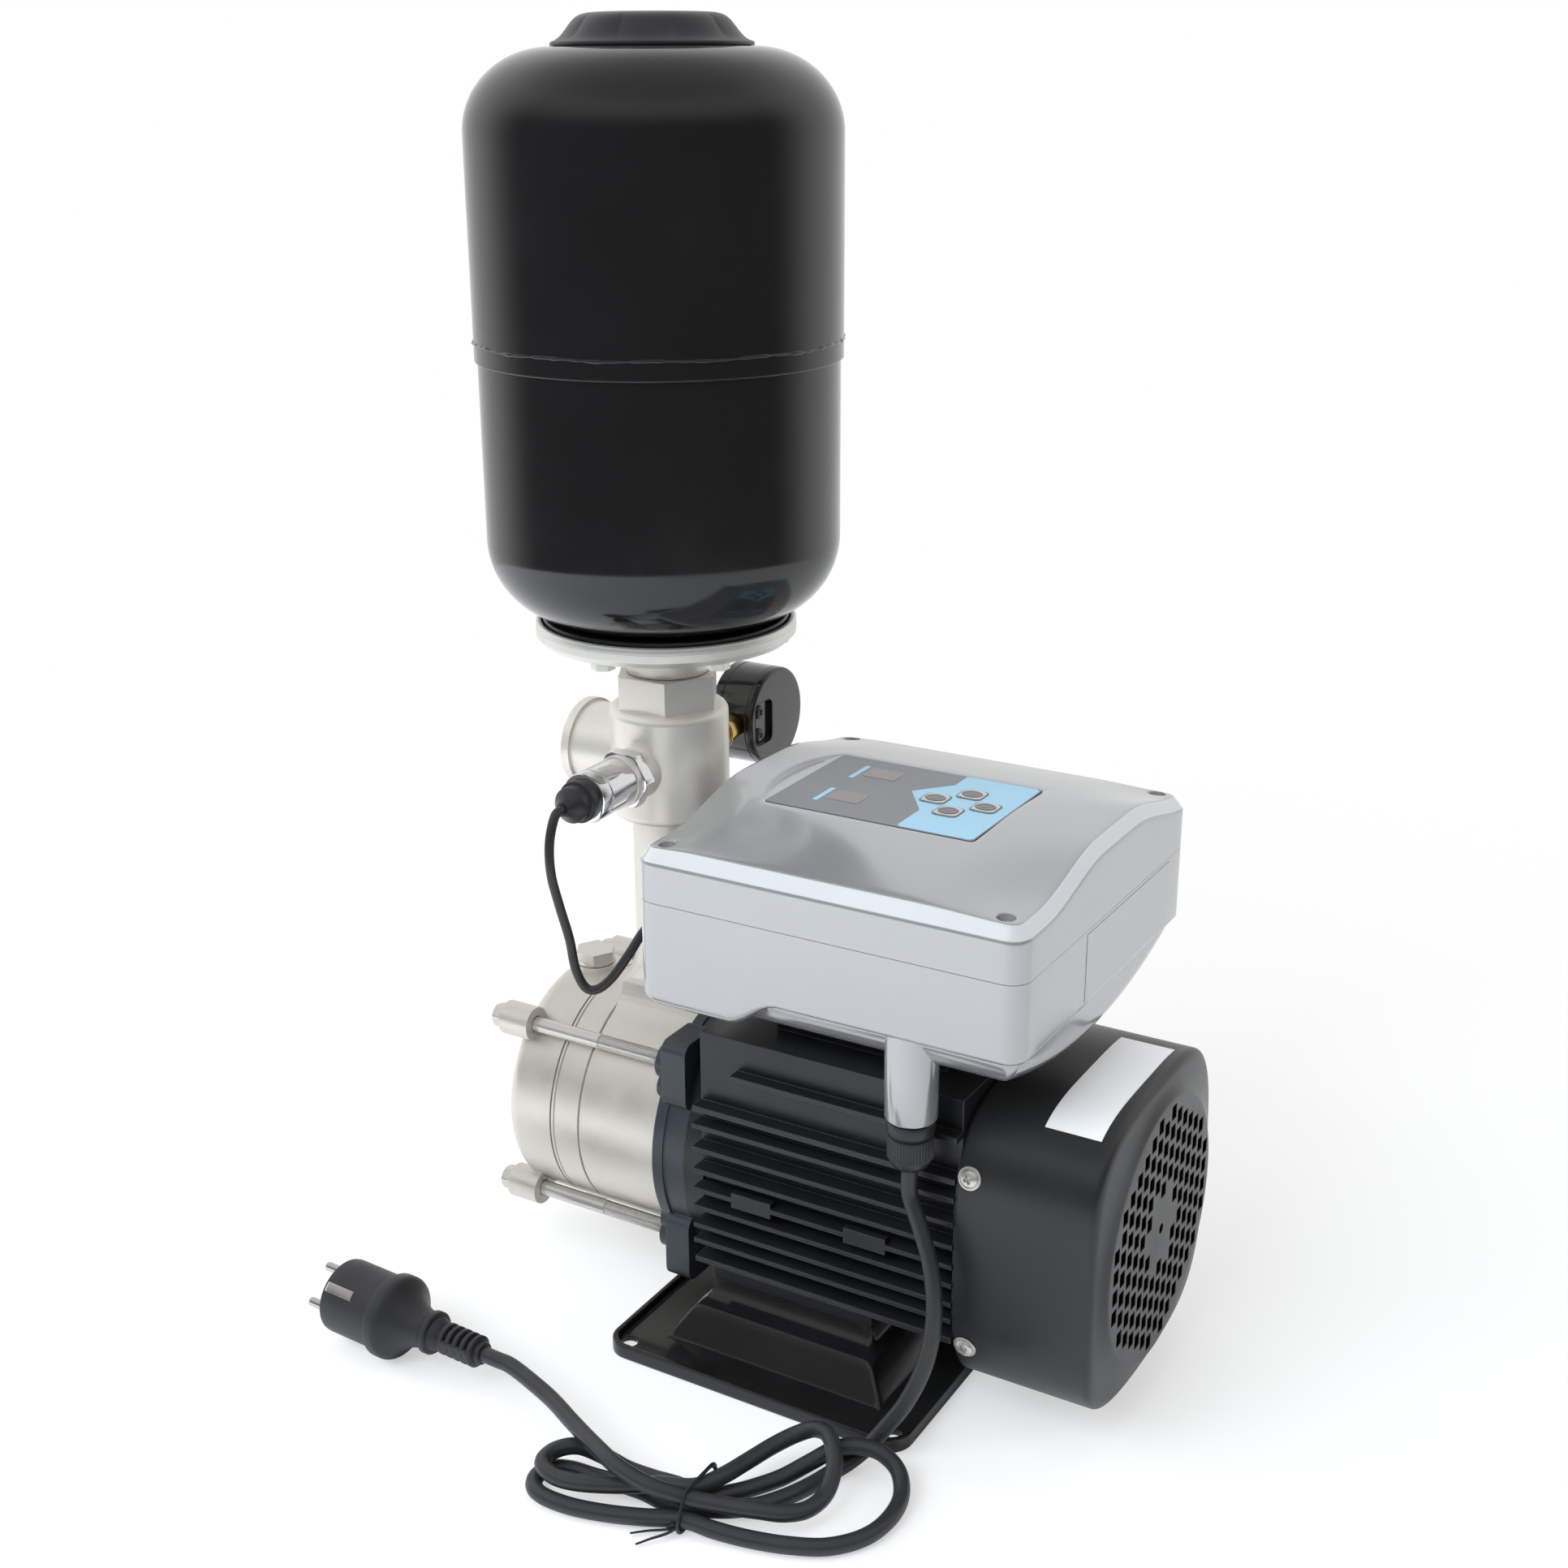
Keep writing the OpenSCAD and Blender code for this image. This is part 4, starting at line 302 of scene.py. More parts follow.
# The route's points are those of the part's source, in millimetres
CORD_POINTS = [Vector(p) for p in (
    (77, -85, 143), (77, -85, 129), (83, -87, 116), (91, -90.5, 98), (95.5, -95, 76),
    (94, -99.5, 54), (87.5, -104.5, 34), (79, -108.5, 19), (72, -114, 8.5), (67.5, -122, 4.5),
    (64, -132, 4), (60, -145, 4), (54, -158, 4), (46, -169.5, 4), (36.5, -178.5, 4.5),
    (24, -186, 5.5), (10, -188, 4), (-4, -187, 4), (-18, -188, 4), (-29, -189.5, 4),
    (-40, -190.5, 4), (-48, -194, 4), (-51.5, -201, 4), (-48.5, -208.5, 4), (-40.5, -212, 4),
    (-26, -211.5, 4), (-10, -207.5, 4), (6, -202, 4.5), (24, -195, 5.5), (38, -193, 4.5),
    (53, -190, 4), (70, -185, 4), (86, -177, 4), (97, -164, 4), (101, -148.5, 4),
    (99.5, -133, 5), (92.5, -122, 8.5), (82.5, -119.5, 13), (72.5, -121.5, 14), (63, -127, 13),
    (54.5, -136.5, 8.5), (46.5, -148, 5), (38.5, -159, 4), (32, -168, 4.5), (24, -176.5, 5.5),
    (10, -179, 7.5), (-4, -178.5, 5.5), (-18, -178.5, 5), (-30, -180, 8.5), (-41, -184.5, 12.5),
    (-48, -193, 13), (-47.5, -202.5, 13), (-38.5, -207, 12.5), (-26.5, -205.5, 12.5),
    (-11, -198.5, 12.5), (6, -188.5, 12.5), (21.5, -182.5, 13.5), (28.5, -171, 14),
    (32.5, -156.5, 13.5), (38, -141, 14.5), (45, -131, 17), (53, -128, 20.5), (61.5, -130.5, 21),
    (69.5, -140.5, 16.5), (73, -154, 11.5), (71, -166.5, 10.5), (64, -175.5, 11.5),
    (54, -180.5, 12.5), (40, -185, 12.5), (24.5, -190.5, 14), (8.5, -197, 18.5),
    (-8.5, -197, 21.5), (-26.5, -190, 21.5), (-46, -180.5, 20.5), (-66, -170.5, 20),
    (-86, -163.5, 20.5), (-98, -160.8, 21.5), (-106, -160.4, 21.5), (-114, -160, 21.5),
)]
CORD_D = 7.8
SENSOR_POINTS = [Vector(p) for p in (
    (-105, -91, 282.5), (-105, -97, 281), (-105, -102, 269), (-104, -103, 254),
    (-103, -99, 237), (-101, -95, 219), (-99, -94, 204), (-95, -92, 194), (-90, -89, 193),
    (-84, -85, 199), (-78, -79.5, 210), (-74, -73.5, 219.5), (-69.1, -70, 226), (-64.5, -70, 226),
)]
SENSOR_D = 4.6


def cord_curve(name, line, diameter):
    """One open spline along the line, with a round section."""
    data = bpy.data.curves.new(name, "CURVE")
    data.dimensions = "3D"
    data.bevel_depth = diameter / 2 * MM
    data.bevel_resolution = 5
    data.use_fill_caps = True
    run = data.splines.new("POLY")
    run.points.add(len(line) - 1)
    for point, place in zip(run.points, line):
        point.co = (*(place * MM), 1)
    run.use_smooth = True
    return new_object(name, data)


# Shader groups

def new_group(name, inputs, outputs):
    """Shader group with (name, socket type, default) inputs and (name, type) outputs."""
    tree = bpy.data.node_groups.new(name, "ShaderNodeTree")
    for label, kind, default in inputs:
        socket = tree.interface.new_socket(label, in_out="INPUT", socket_type=kind)
        if default is not None:
            socket.default_value = default
    for label, kind in outputs:
        tree.interface.new_socket(label, in_out="OUTPUT", socket_type=kind)
    return tree, tree.nodes.new("NodeGroupInput"), tree.nodes.new("NodeGroupOutput")


def put(tree, kind, settings=(), **links):
    """Add a node; settings are its properties, links feed its inputs by name or number."""
    node = tree.nodes.new(kind)
    for key, value in dict(settings).items():
        setattr(node, key, value)
    for key, value in links.items():
        socket = node.inputs[int(key[1:]) if key[0] == "_" else key.replace("_", " ")]
        if isinstance(value, bpy.types.NodeSocket):
            tree.links.new(value, socket)
        else:
            socket.default_value = value
    return node


def maths(tree, operation, *values, clamp=False):
    """Output of a maths node; each value is a number or a socket."""
    settings = {"operation": operation, "use_clamp": clamp}
    links = {f"_{i}": value for i, value in enumerate(values)}
    return put(tree, "ShaderNodeMath", settings, **links).outputs[0]


def object_spot(tree):
    """Place on the object's own surface, in metres."""
    return put(tree, "ShaderNodeTexCoord").outputs["Object"]


def noise(tree, spot, scale, detail, rough=0.5):
    """Noise by place, as a number."""
    return put(
        tree, "ShaderNodeTexNoise", Vector=spot, Scale=scale, Detail=detail, Roughness=rough,
    ).outputs["Fac"]


def vector_maths(tree, operation, output, *values):
    """Named output of a node that reckons with vectors."""
    links = {f"_{i}": value for i, value in enumerate(values)}
    return put(tree, "ShaderNodeVectorMath", {"operation": operation}, **links).outputs[output]


def ramp(tree, value, start, end, low=0.0, high=1.0):
    """Smooth ramp from low to high while the value goes from start to end."""
    return put(
        tree, "ShaderNodeMapRange", {"interpolation_type": "SMOOTHSTEP"}, Value=value,
        From_Min=start, From_Max=end, To_Min=low, To_Max=high,
    ).outputs[0]


FLOAT, VECTOR = "NodeSocketFloat", "NodeSocketVector"


def make_grain_group():
    """Fine surface grain: a height for bump and a slow tone for colour and roughness."""
    tree, given, result = new_group(
        "surface_grain",
        [("Fine", FLOAT, 900.0), ("Broad", FLOAT, 25.0), ("Pits", FLOAT, 0.3)],
        [("Height", FLOAT), ("Tone", FLOAT)],
    )
    spot = object_spot(tree)
    fine = noise(tree, spot, given.outputs["Fine"], 2.0)
    pits = put(tree, "ShaderNodeTexVoronoi", Vector=spot, Scale=given.outputs["Fine"])
    pit_height = maths(tree, "MULTIPLY", pits.outputs["Distance"], given.outputs["Pits"])
    tree.links.new(maths(tree, "ADD", fine, pit_height), result.inputs["Height"])
    tree.links.new(noise(tree, spot, given.outputs["Broad"], 4.0, 0.6), result.inputs["Tone"])
    return tree


def make_lines_group():
    """Machining or brushing lines: noise drawn out across the cut direction."""
    tree, given, result = new_group(
        "tool_lines", [("Stretch", VECTOR, (3000.0, 30.0, 30.0))],
        [("Height", FLOAT), ("Tone", FLOAT)],
    )
    drawn = vector_maths(
        tree, "MULTIPLY", "Vector", object_spot(tree), given.outputs["Stretch"],
    )
    tree.links.new(noise(tree, drawn, 1.0, 3.0), result.inputs["Height"])
    tree.links.new(noise(tree, drawn, 0.12, 2.0), result.inputs["Tone"])
    return tree


def make_wear_group():
    """Rubbed edges: where the rounded normal leaves the flat one, broken up by noise."""
    tree, given, result = new_group(
        "rubbed_edges", [("Width", FLOAT, 0.0008), ("Gain", FLOAT, 3.0)], [("Mask", FLOAT)],
    )
    rounded = put(tree, "ShaderNodeBevel", {"samples": 4}, Radius=given.outputs["Width"])
    flat = put(tree, "ShaderNodeNewGeometry").outputs["Normal"]
    match = vector_maths(tree, "DOT_PRODUCT", "Value", rounded.outputs[0], flat)
    leave = maths(tree, "SUBTRACT", 1.0, match)
    broken = maths(tree, "MULTIPLY", leave, noise(tree, object_spot(tree), 220.0, 4.0))
    mask = maths(tree, "MULTIPLY", broken, given.outputs["Gain"], clamp=True)
    tree.links.new(mask, result.inputs["Mask"])
    return tree


def make_dust_group():
    """Settled dust: on faces that look up, in soft patches."""
    tree, given, result = new_group("settled_dust", [("Amount", FLOAT, 0.1)], [("Mask", FLOAT)])
    flat = put(tree, "ShaderNodeNewGeometry").outputs["Normal"]
    facing = put(tree, "ShaderNodeSeparateXYZ", Vector=flat)
    upward = put(
        tree, "ShaderNodeMapRange", Value=facing.outputs["Z"], From_Min=0.2, From_Max=1.0,
    )
    patches = noise(tree, object_spot(tree), 45.0, 5.0, 0.7)
    settled = maths(tree, "MULTIPLY", upward.outputs[0], patches)
    mask = maths(tree, "MULTIPLY", settled, given.outputs["Amount"], clamp=True)
    tree.links.new(mask, result.inputs["Mask"])
    return tree


GRAIN = make_grain_group()
LINES = make_lines_group()
WEAR = make_wear_group()
DUST = make_dust_group()


def use_group(tree, group, **values):
    """Place a shared group in a material, with this material's values."""
    return put(tree, "ShaderNodeGroup", {"node_tree": group}, **values)


def mix_colour(tree, share, first, second):
    """Colour between the first and the second, by the share."""
    settings = {"data_type": "RGBA"}
    return put(tree, "ShaderNodeMix", settings, _0=share, _6=first, _7=second).outputs[2]


def shade(colour, factor):
    """The colour made lighter or darker, with full alpha."""
    return tuple(min(1.0, c * factor) for c in colour) + (1.0,)


def surface(
    name, colour, roughness, metal=0.0, tone=0.12, broad=25.0, fine=900.0, relief=0.02,
    pits=0.2, spread=0.05, lines=None, line_relief=0.02, wear=None, dust=0.0,
    rounding=0.5, coat=0.0, coat_rough=0.05,
):
    """Material whose colour, roughness and bump vary as the real finish does."""
    made = bpy.data.materials.new(name)
    made.use_nodes = True
    tree = made.node_tree
    tree.nodes.clear()
    shader = put(
        tree, "ShaderNodeBsdfPrincipled", Metallic=metal, Coat_Weight=coat,
        Coat_Roughness=coat_rough,
    )
    put(tree, "ShaderNodeOutputMaterial", Surface=shader.outputs[0])
    grain = use_group(tree, GRAIN, Fine=fine, Broad=broad, Pits=pits)
    tint = mix_colour(
        tree, grain.outputs["Tone"], shade(colour, 1 - tone), shade(colour, 1 + tone),
    )
    height, relief_depth = grain.outputs["Height"], relief
    if lines:
        drawn = use_group(tree, LINES, Stretch=lines)
        tint = mix_colour(
            tree, drawn.outputs["Tone"], tint, shade(colour, 1 - tone * 0.8),
        )
        height = maths(tree, "ADD", height, drawn.outputs["Height"])
        relief_depth = relief + line_relief
    if wear:
        rubbed = use_group(tree, WEAR, Width=rounding * 1.6 * MM, Gain=wear[1])
        tint = mix_colour(tree, rubbed.outputs["Mask"], tint, wear[0] + (1.0,))
    if dust:
        settled = use_group(tree, DUST, Amount=dust)
        tint = mix_colour(tree, settled.outputs["Mask"], tint, (0.42, 0.41, 0.39, 1.0))
    tree.links.new(tint, shader.inputs["Base Color"])
    gloss = put(
        tree, "ShaderNodeMapRange", Value=grain.outputs["Tone"], From_Min=0.3, From_Max=0.7,
        To_Min=roughness - spread, To_Max=roughness + spread,
    )
    tree.links.new(gloss.outputs[0], shader.inputs["Roughness"])
    bump = put(tree, "ShaderNodeBump", Distance=relief_depth * MM, Height=height)
    if rounding:
        soft = put(tree, "ShaderNodeBevel", {"samples": 6}, Radius=rounding * MM)
        tree.links.new(soft.outputs[0], bump.inputs["Normal"])
    tree.links.new(bump.outputs[0], shader.inputs["Normal"])
    return made


def clear_glass(name):
    """Clear lens with hardly any waviness."""
    made = bpy.data.materials.new(name)
    made.use_nodes = True
    tree = made.node_tree
    shader = tree.nodes["Principled BSDF"]
    shader.inputs["Base Color"].default_value = (0.96, 0.98, 0.98, 1)
    shader.inputs["Transmission Weight"].default_value = 1.0
    shader.inputs["Roughness"].default_value = 0.02
    shader.inputs["IOR"].default_value = 1.46
    grain = use_group(tree, GRAIN, Fine=120.0, Broad=40.0, Pits=0.0)
    bump = put(tree, "ShaderNodeBump", Distance=0.004 * MM, Height=grain.outputs["Height"])
    tree.links.new(bump.outputs[0], shader.inputs["Normal"])
    return made


SLOTS = {
    "gloss_black_paint": surface(
        "gloss_black_enamel", (0.006, 0.006, 0.0065), 0.12, tone=0.3, fine=260, relief=0.006,
        pits=0.0, spread=0.04, wear=((0.05, 0.05, 0.055), 1.5), dust=0.02, rounding=1.2,
        coat=0.15,
    ),
    "satin_black_paint": surface(
        "satin_black_powder_coat", (0.012, 0.0122, 0.013), 0.34, tone=0.15, fine=1400,
        relief=0.01, pits=0.5, spread=0.05, wear=((0.09, 0.09, 0.095), 1.5), dust=0.03,
        rounding=0.3,
    ),
    "black_casting": surface(
        "painted_black_casting", (0.008, 0.0085, 0.01), 0.36, tone=0.2, fine=700, relief=0.04,
        pits=0.4, spread=0.07, wear=((0.07, 0.07, 0.075), 2.0), dust=0.02, rounding=0.8,
    ),
    "lamination_steel": surface(
        "stacked_lamination_steel", (0.36, 0.36, 0.37), 0.42, metal=1.0, relief=0.01,
        lines=(4000.0, 20.0, 20.0), line_relief=0.05, rounding=0.2,
    ),
    "winding_copper": surface(
        "enamelled_copper_winding", (0.42, 0.14, 0.045), 0.3, metal=0.7, fine=500,
        relief=0.15, lines=(1400.0, 60.0, 60.0), line_relief=0.2, rounding=0.5, coat=0.5,
    ),
    "bearing_steel": surface(
        "ground_bearing_steel", (0.6, 0.61, 0.63), 0.14, metal=1.0, tone=0.05, relief=0.001,
        lines=(6000.0, 40.0, 40.0), line_relief=0.002, rounding=0.3,
    ),
    "turned_steel": surface(
        "turned_shaft_steel", (0.5, 0.51, 0.53), 0.25, metal=1.0, tone=0.08, relief=0.002,
        lines=(5000.0, 30.0, 30.0), line_relief=0.006, rounding=0.3,
    ),
    "stainless": surface(
        "blasted_cast_stainless", (0.67, 0.635, 0.58), 0.38, metal=0.72, tone=0.1, broad=55,
        fine=1100, relief=0.045, pits=0.5, spread=0.06, wear=((0.82, 0.8, 0.77), 1.0),
        dust=0.01, rounding=0.6,
    ),
    "bolt_stainless": surface(
        "bright_bolt_stainless", (0.6, 0.58, 0.54), 0.23, metal=0.7, tone=0.06, fine=1500,
        relief=0.004, spread=0.03, wear=((0.88, 0.87, 0.84), 1.0), rounding=0.25,
    ),
    "zinc_plate": surface(
        "zinc_plated_flange", (0.74, 0.73, 0.69), 0.35, metal=0.75, tone=0.08, broad=60,
        fine=1200, relief=0.006, spread=0.05, rounding=0.6,
    ),
    "black_rubber": surface(
        "moulded_black_rubber", (0.014, 0.014, 0.016), 0.5, tone=0.15, fine=1300,
        relief=0.012, pits=0.5, dust=0.03, rounding=0.4,
    ),
    "seal_ceramic": surface(
        "lapped_seal_ceramic", (0.8, 0.78, 0.7), 0.2, tone=0.04, relief=0.002, rounding=0.2,
    ),
    "seal_carbon": surface(
        "seal_carbon_and_rubber", (0.04, 0.04, 0.045), 0.5, relief=0.01, rounding=0.2,
    ),
    "fan_plastic": surface(
        "black_fan_moulding", (0.02, 0.02, 0.022), 0.45, fine=1200, relief=0.01, rounding=0.3,
    ),
    "black_plastic": surface(
        "moulded_black_plastic", (0.012, 0.012, 0.014), 0.38, tone=0.12, fine=1500,
        relief=0.008, pits=0.5, wear=((0.05, 0.05, 0.055), 1.2), dust=0.03, rounding=0.5,
    ),
    "valve_plastic": surface(
        "blue_valve_moulding", (0.06, 0.17, 0.4), 0.4, fine=1200, relief=0.008, rounding=0.3,
    ),
    "valve_brass": surface(
        "turned_valve_brass", (0.7, 0.48, 0.16), 0.22, metal=1.0, relief=0.003,
        lines=(60.0, 60.0, 5000.0), line_relief=0.006, rounding=0.3,
    ),
    "sensor_chrome": surface(
        "chromed_sensor_body", (0.78, 0.78, 0.79), 0.07, metal=1.0, tone=0.04, relief=0.001,
        spread=0.03, rounding=0.3,
    ),
    "dial_white": surface(
        "matt_white_dial_print", (0.84, 0.84, 0.82), 0.5, tone=0.03, relief=0.002, rounding=0,
    ),
    "gauge_glass": clear_glass("clear_gauge_lens"),
    "needle_red": surface(
        "matt_red_needle_paint", (0.5, 0.02, 0.02), 0.45, tone=0.05, relief=0.002, rounding=0.1,
    ),
    "grey_plastic": surface(
        "silver_grey_housing_paint", (0.41, 0.412, 0.418), 0.17, metal=0.55, tone=0.04,
        broad=18, fine=2400, relief=0.002, pits=0.6, spread=0.04, dust=0.015, rounding=0.35,
        coat=0.35, coat_rough=0.05,
    ),
    "keypad_foil": surface(
        "grey_keypad_foil", (0.16, 0.165, 0.175), 0.35, tone=0.08, fine=2200, relief=0.003,
        pits=0.5, rounding=0.3,
    ),
    "key_grey": surface(
        "dark_key_foil", (0.11, 0.11, 0.115), 0.35, tone=0.08, fine=2200, relief=0.003,
        rounding=0.3,
    ),
    "board_green": surface(
        "lacquered_green_board", (0.02, 0.12, 0.05), 0.3, fine=800, relief=0.01, rounding=0.2,
    ),
    "cord_black": surface(
        "dark_grey_cord_sheath", (0.017, 0.0175, 0.019), 0.38, tone=0.15, broad=60,
        fine=1600, relief=0.008, pits=0.4, dust=0.05, rounding=0,
    ),
    "pin_nickel": surface(
        "nickel_plated_pin", (0.55, 0.54, 0.52), 0.16, metal=1.0, tone=0.06, relief=0.002,
        lines=(900.0, 900.0, 60.0), line_relief=0.003, rounding=0.3,
    ),
}
FIELD_BLUE = surface(
    "light_blue_foil_print", (0.29, 0.51, 0.66), 0.35, tone=0.04, fine=2200, relief=0.003,
    pits=0.5, rounding=0.1,
)
WINDOW_BROWN = surface(
    "smoked_display_window", (0.13, 0.1, 0.085), 0.1, tone=0.08, relief=0.001, rounding=0,
    coat=0.6,
)
BRIGHT_DOME = surface(
    "bright_key_dome", (0.62, 0.62, 0.63), 0.18, metal=0.9, tone=0.05, fine=1800,
    relief=0.003, rounding=0.1,
)
DOME_GREY = surface(
    "brushed_key_dome", (0.2, 0.2, 0.205), 0.22, metal=0.85, tone=0.1, fine=1800,
    relief=0.003, spread=0.03, rounding=0.1,
)
GAUGE_ENAMEL = surface(
    "gauge_black_enamel", (0.007, 0.0068, 0.0065), 0.14, tone=0.15, fine=400, relief=0.003,
    pits=0.0, dust=0.01, rounding=0.3, coat=0.4,
)
# Lighter, less metallic copy of the housing paint for the lid's chamfer: a painted highlight for
# the light that the chamfer catches.
LID_CHAMFER_PAINTED_HIGHLIGHT = surface(
    "bright_lid_chamfer", (0.59, 0.61, 0.63), 0.18, metal=0.25, tone=0.03, broad=18,
    fine=2400, relief=0.002, pits=0.6, spread=0.04, rounding=0.35, coat=0.4,
)
LABEL_WHITE = surface(
    "bare_white_label_film", (0.93, 0.93, 0.94), 0.36, tone=0.03, fine=1500, relief=0.004,
    pits=0.3, dust=0.03, rounding=0,
)
LABEL_SILVER = surface(
    "bare_silver_plate_film", (0.5, 0.5, 0.51), 0.36, metal=0.3, tone=0.05, fine=1800,
    relief=0.004, rounding=0,
)
# Paler copy of the cast stainless for the five-way body and the nipple: painted light, for the
# brightness that their facets catch.
FITTING_PAINTED_LIGHT = surface(
    "pale_blasted_fitting", (0.73, 0.695, 0.64), 0.36, metal=0.58, tone=0.08, broad=55,
    fine=1100, relief=0.045, pits=0.5, spread=0.05, wear=((0.86, 0.84, 0.8), 1.0),
    dust=0.01, rounding=0.6,
)
# Black paint made lighter and bluer for the bracket: a painted reflection of bluish window light.
BRACKET_PAINTED_SHEEN = surface(
    "bracket_black_paint", (0.026, 0.031, 0.039), 0.36, tone=0.15, fine=700, relief=0.03,
    pits=0.4, spread=0.05, wear=((0.09, 0.095, 0.105), 2.0), dust=0.02, rounding=1.0,
)

SLOT_OF = {sub["node"]: sub["material_slot"] for sub in frame["record"]["subparts"]}
# Nodes that take a copy of their slot's material with painted light: the bracket's painted bluish
# sheen and the fittings' painted brightness.
PAINTED_LIGHT_COPY = {
    "front_bracket": BRACKET_PAINTED_SHEEN, "five_way_body": FITTING_PAINTED_LIGHT, "tank_nipple": FITTING_PAINTED_LIGHT,
}
for node_name, node_slot in SLOT_OF.items():
    finishes = frame["nodes"][node_name].data.materials
    finishes.clear()
    finishes.append(PAINTED_LIGHT_COPY.get(node_name, SLOTS[node_slot]))


def body_of_node(node):
    """Name of the body that a node rides on."""
    return frame["nodes"][node].parent.name.removeprefix("body:")


def stand_in(name, bm, node, sharp=34, material=None):
    """Finer mesh for a node, on the node's own body and in its own slot."""
    slot = SLOT_OF[node]
    return add_mesh(
        name, bm, body_of_node(node), material or SLOTS[slot], [node], sharp,
    )


def add_detail(name, bm, slot, material=None, body="pump"):
    """Piece that stands for no node."""
    return add_mesh(name, bm, body, material or SLOTS[slot])


# Mains cord

SPAN_STEPS = 8


def make_lead(name, points, diameter, node):
    """Lead along its route; gives the piece and its line."""
    line = spline(points, SPAN_STEPS)
    lead = cord_curve(name, line, diameter)
    return settle(lead, "pump", SLOTS["cord_black"], [node]), line


power_lead, cord_line = make_lead("power_lead", CORD_POINTS, CORD_D, "power_cord")
sensor_lead, sensor_line = make_lead("sensor_lead", SENSOR_POINTS, SENSOR_D, "sensor_cord")


def hull_of(points):
    """Convex hull of flat points, anticlockwise."""
    points = sorted(points)

    def half(run):
        kept = []
        for p in run:
            while len(kept) > 1 and (
                (kept[-1][0] - kept[-2][0]) * (p[1] - kept[-2][1])
                - (kept[-1][1] - kept[-2][1]) * (p[0] - kept[-2][0])
            ) <= 0:
                kept.pop()
            kept.append(p)
        return kept[:-1]

    return half(points) + half(reversed(points))


def make_cord_tie():
    """Twist tie: a paper-thin ribbon with a wire core round five strands, two free ends."""
    at_x = 24
    strands = ((-186, 5.5), (-195.5, 5.5), (-174.5, 5.5), (-173.6, 14.2), (-191, 14.3))
    reach = CORD_D / 2 + 1.0
    outline = hull_of([(y + a, z + b) for y, z in strands for a, b in circle(reach, 40)])
    bm = bmesh.new()
    loop = [Vector((at_x, y, z)) for y, z in outline]
    tube(bm, loop, 1.0, sides=10, closed=True, flat=(0.45, 1.35))
    tube(bm, loop, 0.62, sides=8, closed=True)
    foot = Vector((at_x, -195 - reach, 5))
    for run in (
        ((0, 0, 0), (-5, -2.5, -1.6), (-12, -6, -2.6), (-18.5, -10.5, -3.4)),
        ((0, 0, 0), (-3, -5, -1.2), (-8, -10, -2.4), (-12.5, -15, -3.6)),
        ((0, 0, 0), (-2, -1, 1.4), (-3.4, -1.8, 0.4), (-5, -2.5, -1.6)),
    ):
        line = spline([foot + Vector(p) for p in run], 6)
        tube(bm, line, lambda share: 0.95 - 0.35 * share, sides=8, flat=(0.6, 1.0))
    stand_in("cord_twist_tie", bm, "cord_tie", 40)


make_cord_tie()

PLUG_TURN = math.radians(177)
PLUG_PLACE = along(CORD_POINTS[-1], (math.cos(PLUG_TURN), math.sin(PLUG_TURN), 0))
PIN_ROLL = math.radians(-46)
PIN_APART = 19.0


def make_plug():
    """Moulded plug: slotted relief, waist, collar with a hanging lip, and a ribbed barrel."""
    bm = bmesh.new()
    profile = [
        (4.3, -0.2), (5.4, 0.2), (5.6, 1.2), (5.8, 26), (7.6, 28), (8.2, 29.5), (8.6, 30.4),
        (10.2, 30.8), (10.8, 31.6), (10.8, 34.2), (10.2, 35.2), (9.6, 35.8), (9.5, 37),
        (9.9, 40), (10.9, 43), (12.4, 46), (14.6, 49), (17.2, 51.4), (19.4, 53), (20.6, 54.2),
        (21.2, 55.4), (21.3, 56.4), (21.3, 60.4), (21.0, 61.2), (20.2, 61.6), (19.4, 61.8),
        (19.0, 62.4), (18.9, 63.4), (18.9, 84), (18.9, 91.4), (18.6, 92.8), (17.6, 93.6),
        (16.9, 93.7), (16.4, 93.4), (16.2, 92.9), (0, 92.9),
    ]
    lathe(bm, PLUG_PLACE, profile, steps=72)
    bmesh.ops.holes_fill(bm, edges=[e for e in bm.edges if e.is_boundary])
    shell = stand_in("plug_moulding", bm, "plug_body", 32)
    bm = bmesh.new()
    ring_first, ring_pitch = 3.2, 4.6
    for k in range(5):
        at = ring_first + k * ring_pitch
        lathe(bm, PLUG_PLACE, [
            (5.5, at - 0.2), (7.4, at), (7.9, at + 0.5), (7.9, at + 2.2), (7.4, at + 2.7),
            (5.5, at + 2.9),
        ], steps=40)
    for side in (-1, 1):
        for k in range(4):
            middle = PLUG_PLACE @ Vector((side * 6.4, 0, 7.1 + k * ring_pitch))
            turn = PLUG_PLACE.to_3x3().to_4x4()
            prism(
                bm, Matrix.Translation(middle) @ turn, round_rect(2.4, 6.5, 0.6, 3),
                -1.6, 1.6, 0.2,
            )
    return [shell, add_detail("plug_relief_rings", bm, "black_rubber")]


def make_pins():
    """Two round pins with domed tips."""
    bm = bmesh.new()
    rolled = PLUG_PLACE @ Matrix.Rotation(PIN_ROLL, 4, "Z")
    for side in (-1, 1):
        lathe(bm, rolled @ Matrix.Translation((side * PIN_APART / 2, 0, 0)), [
            (2.4, 92.6), (2.4, 110.4), (2.2, 111.5), (1.6, 112.2), (0.8, 112.6), (0, 112.7),
        ], steps=32)
    return stand_in("plug_pin_pair", bm, "plug_pins", 40)


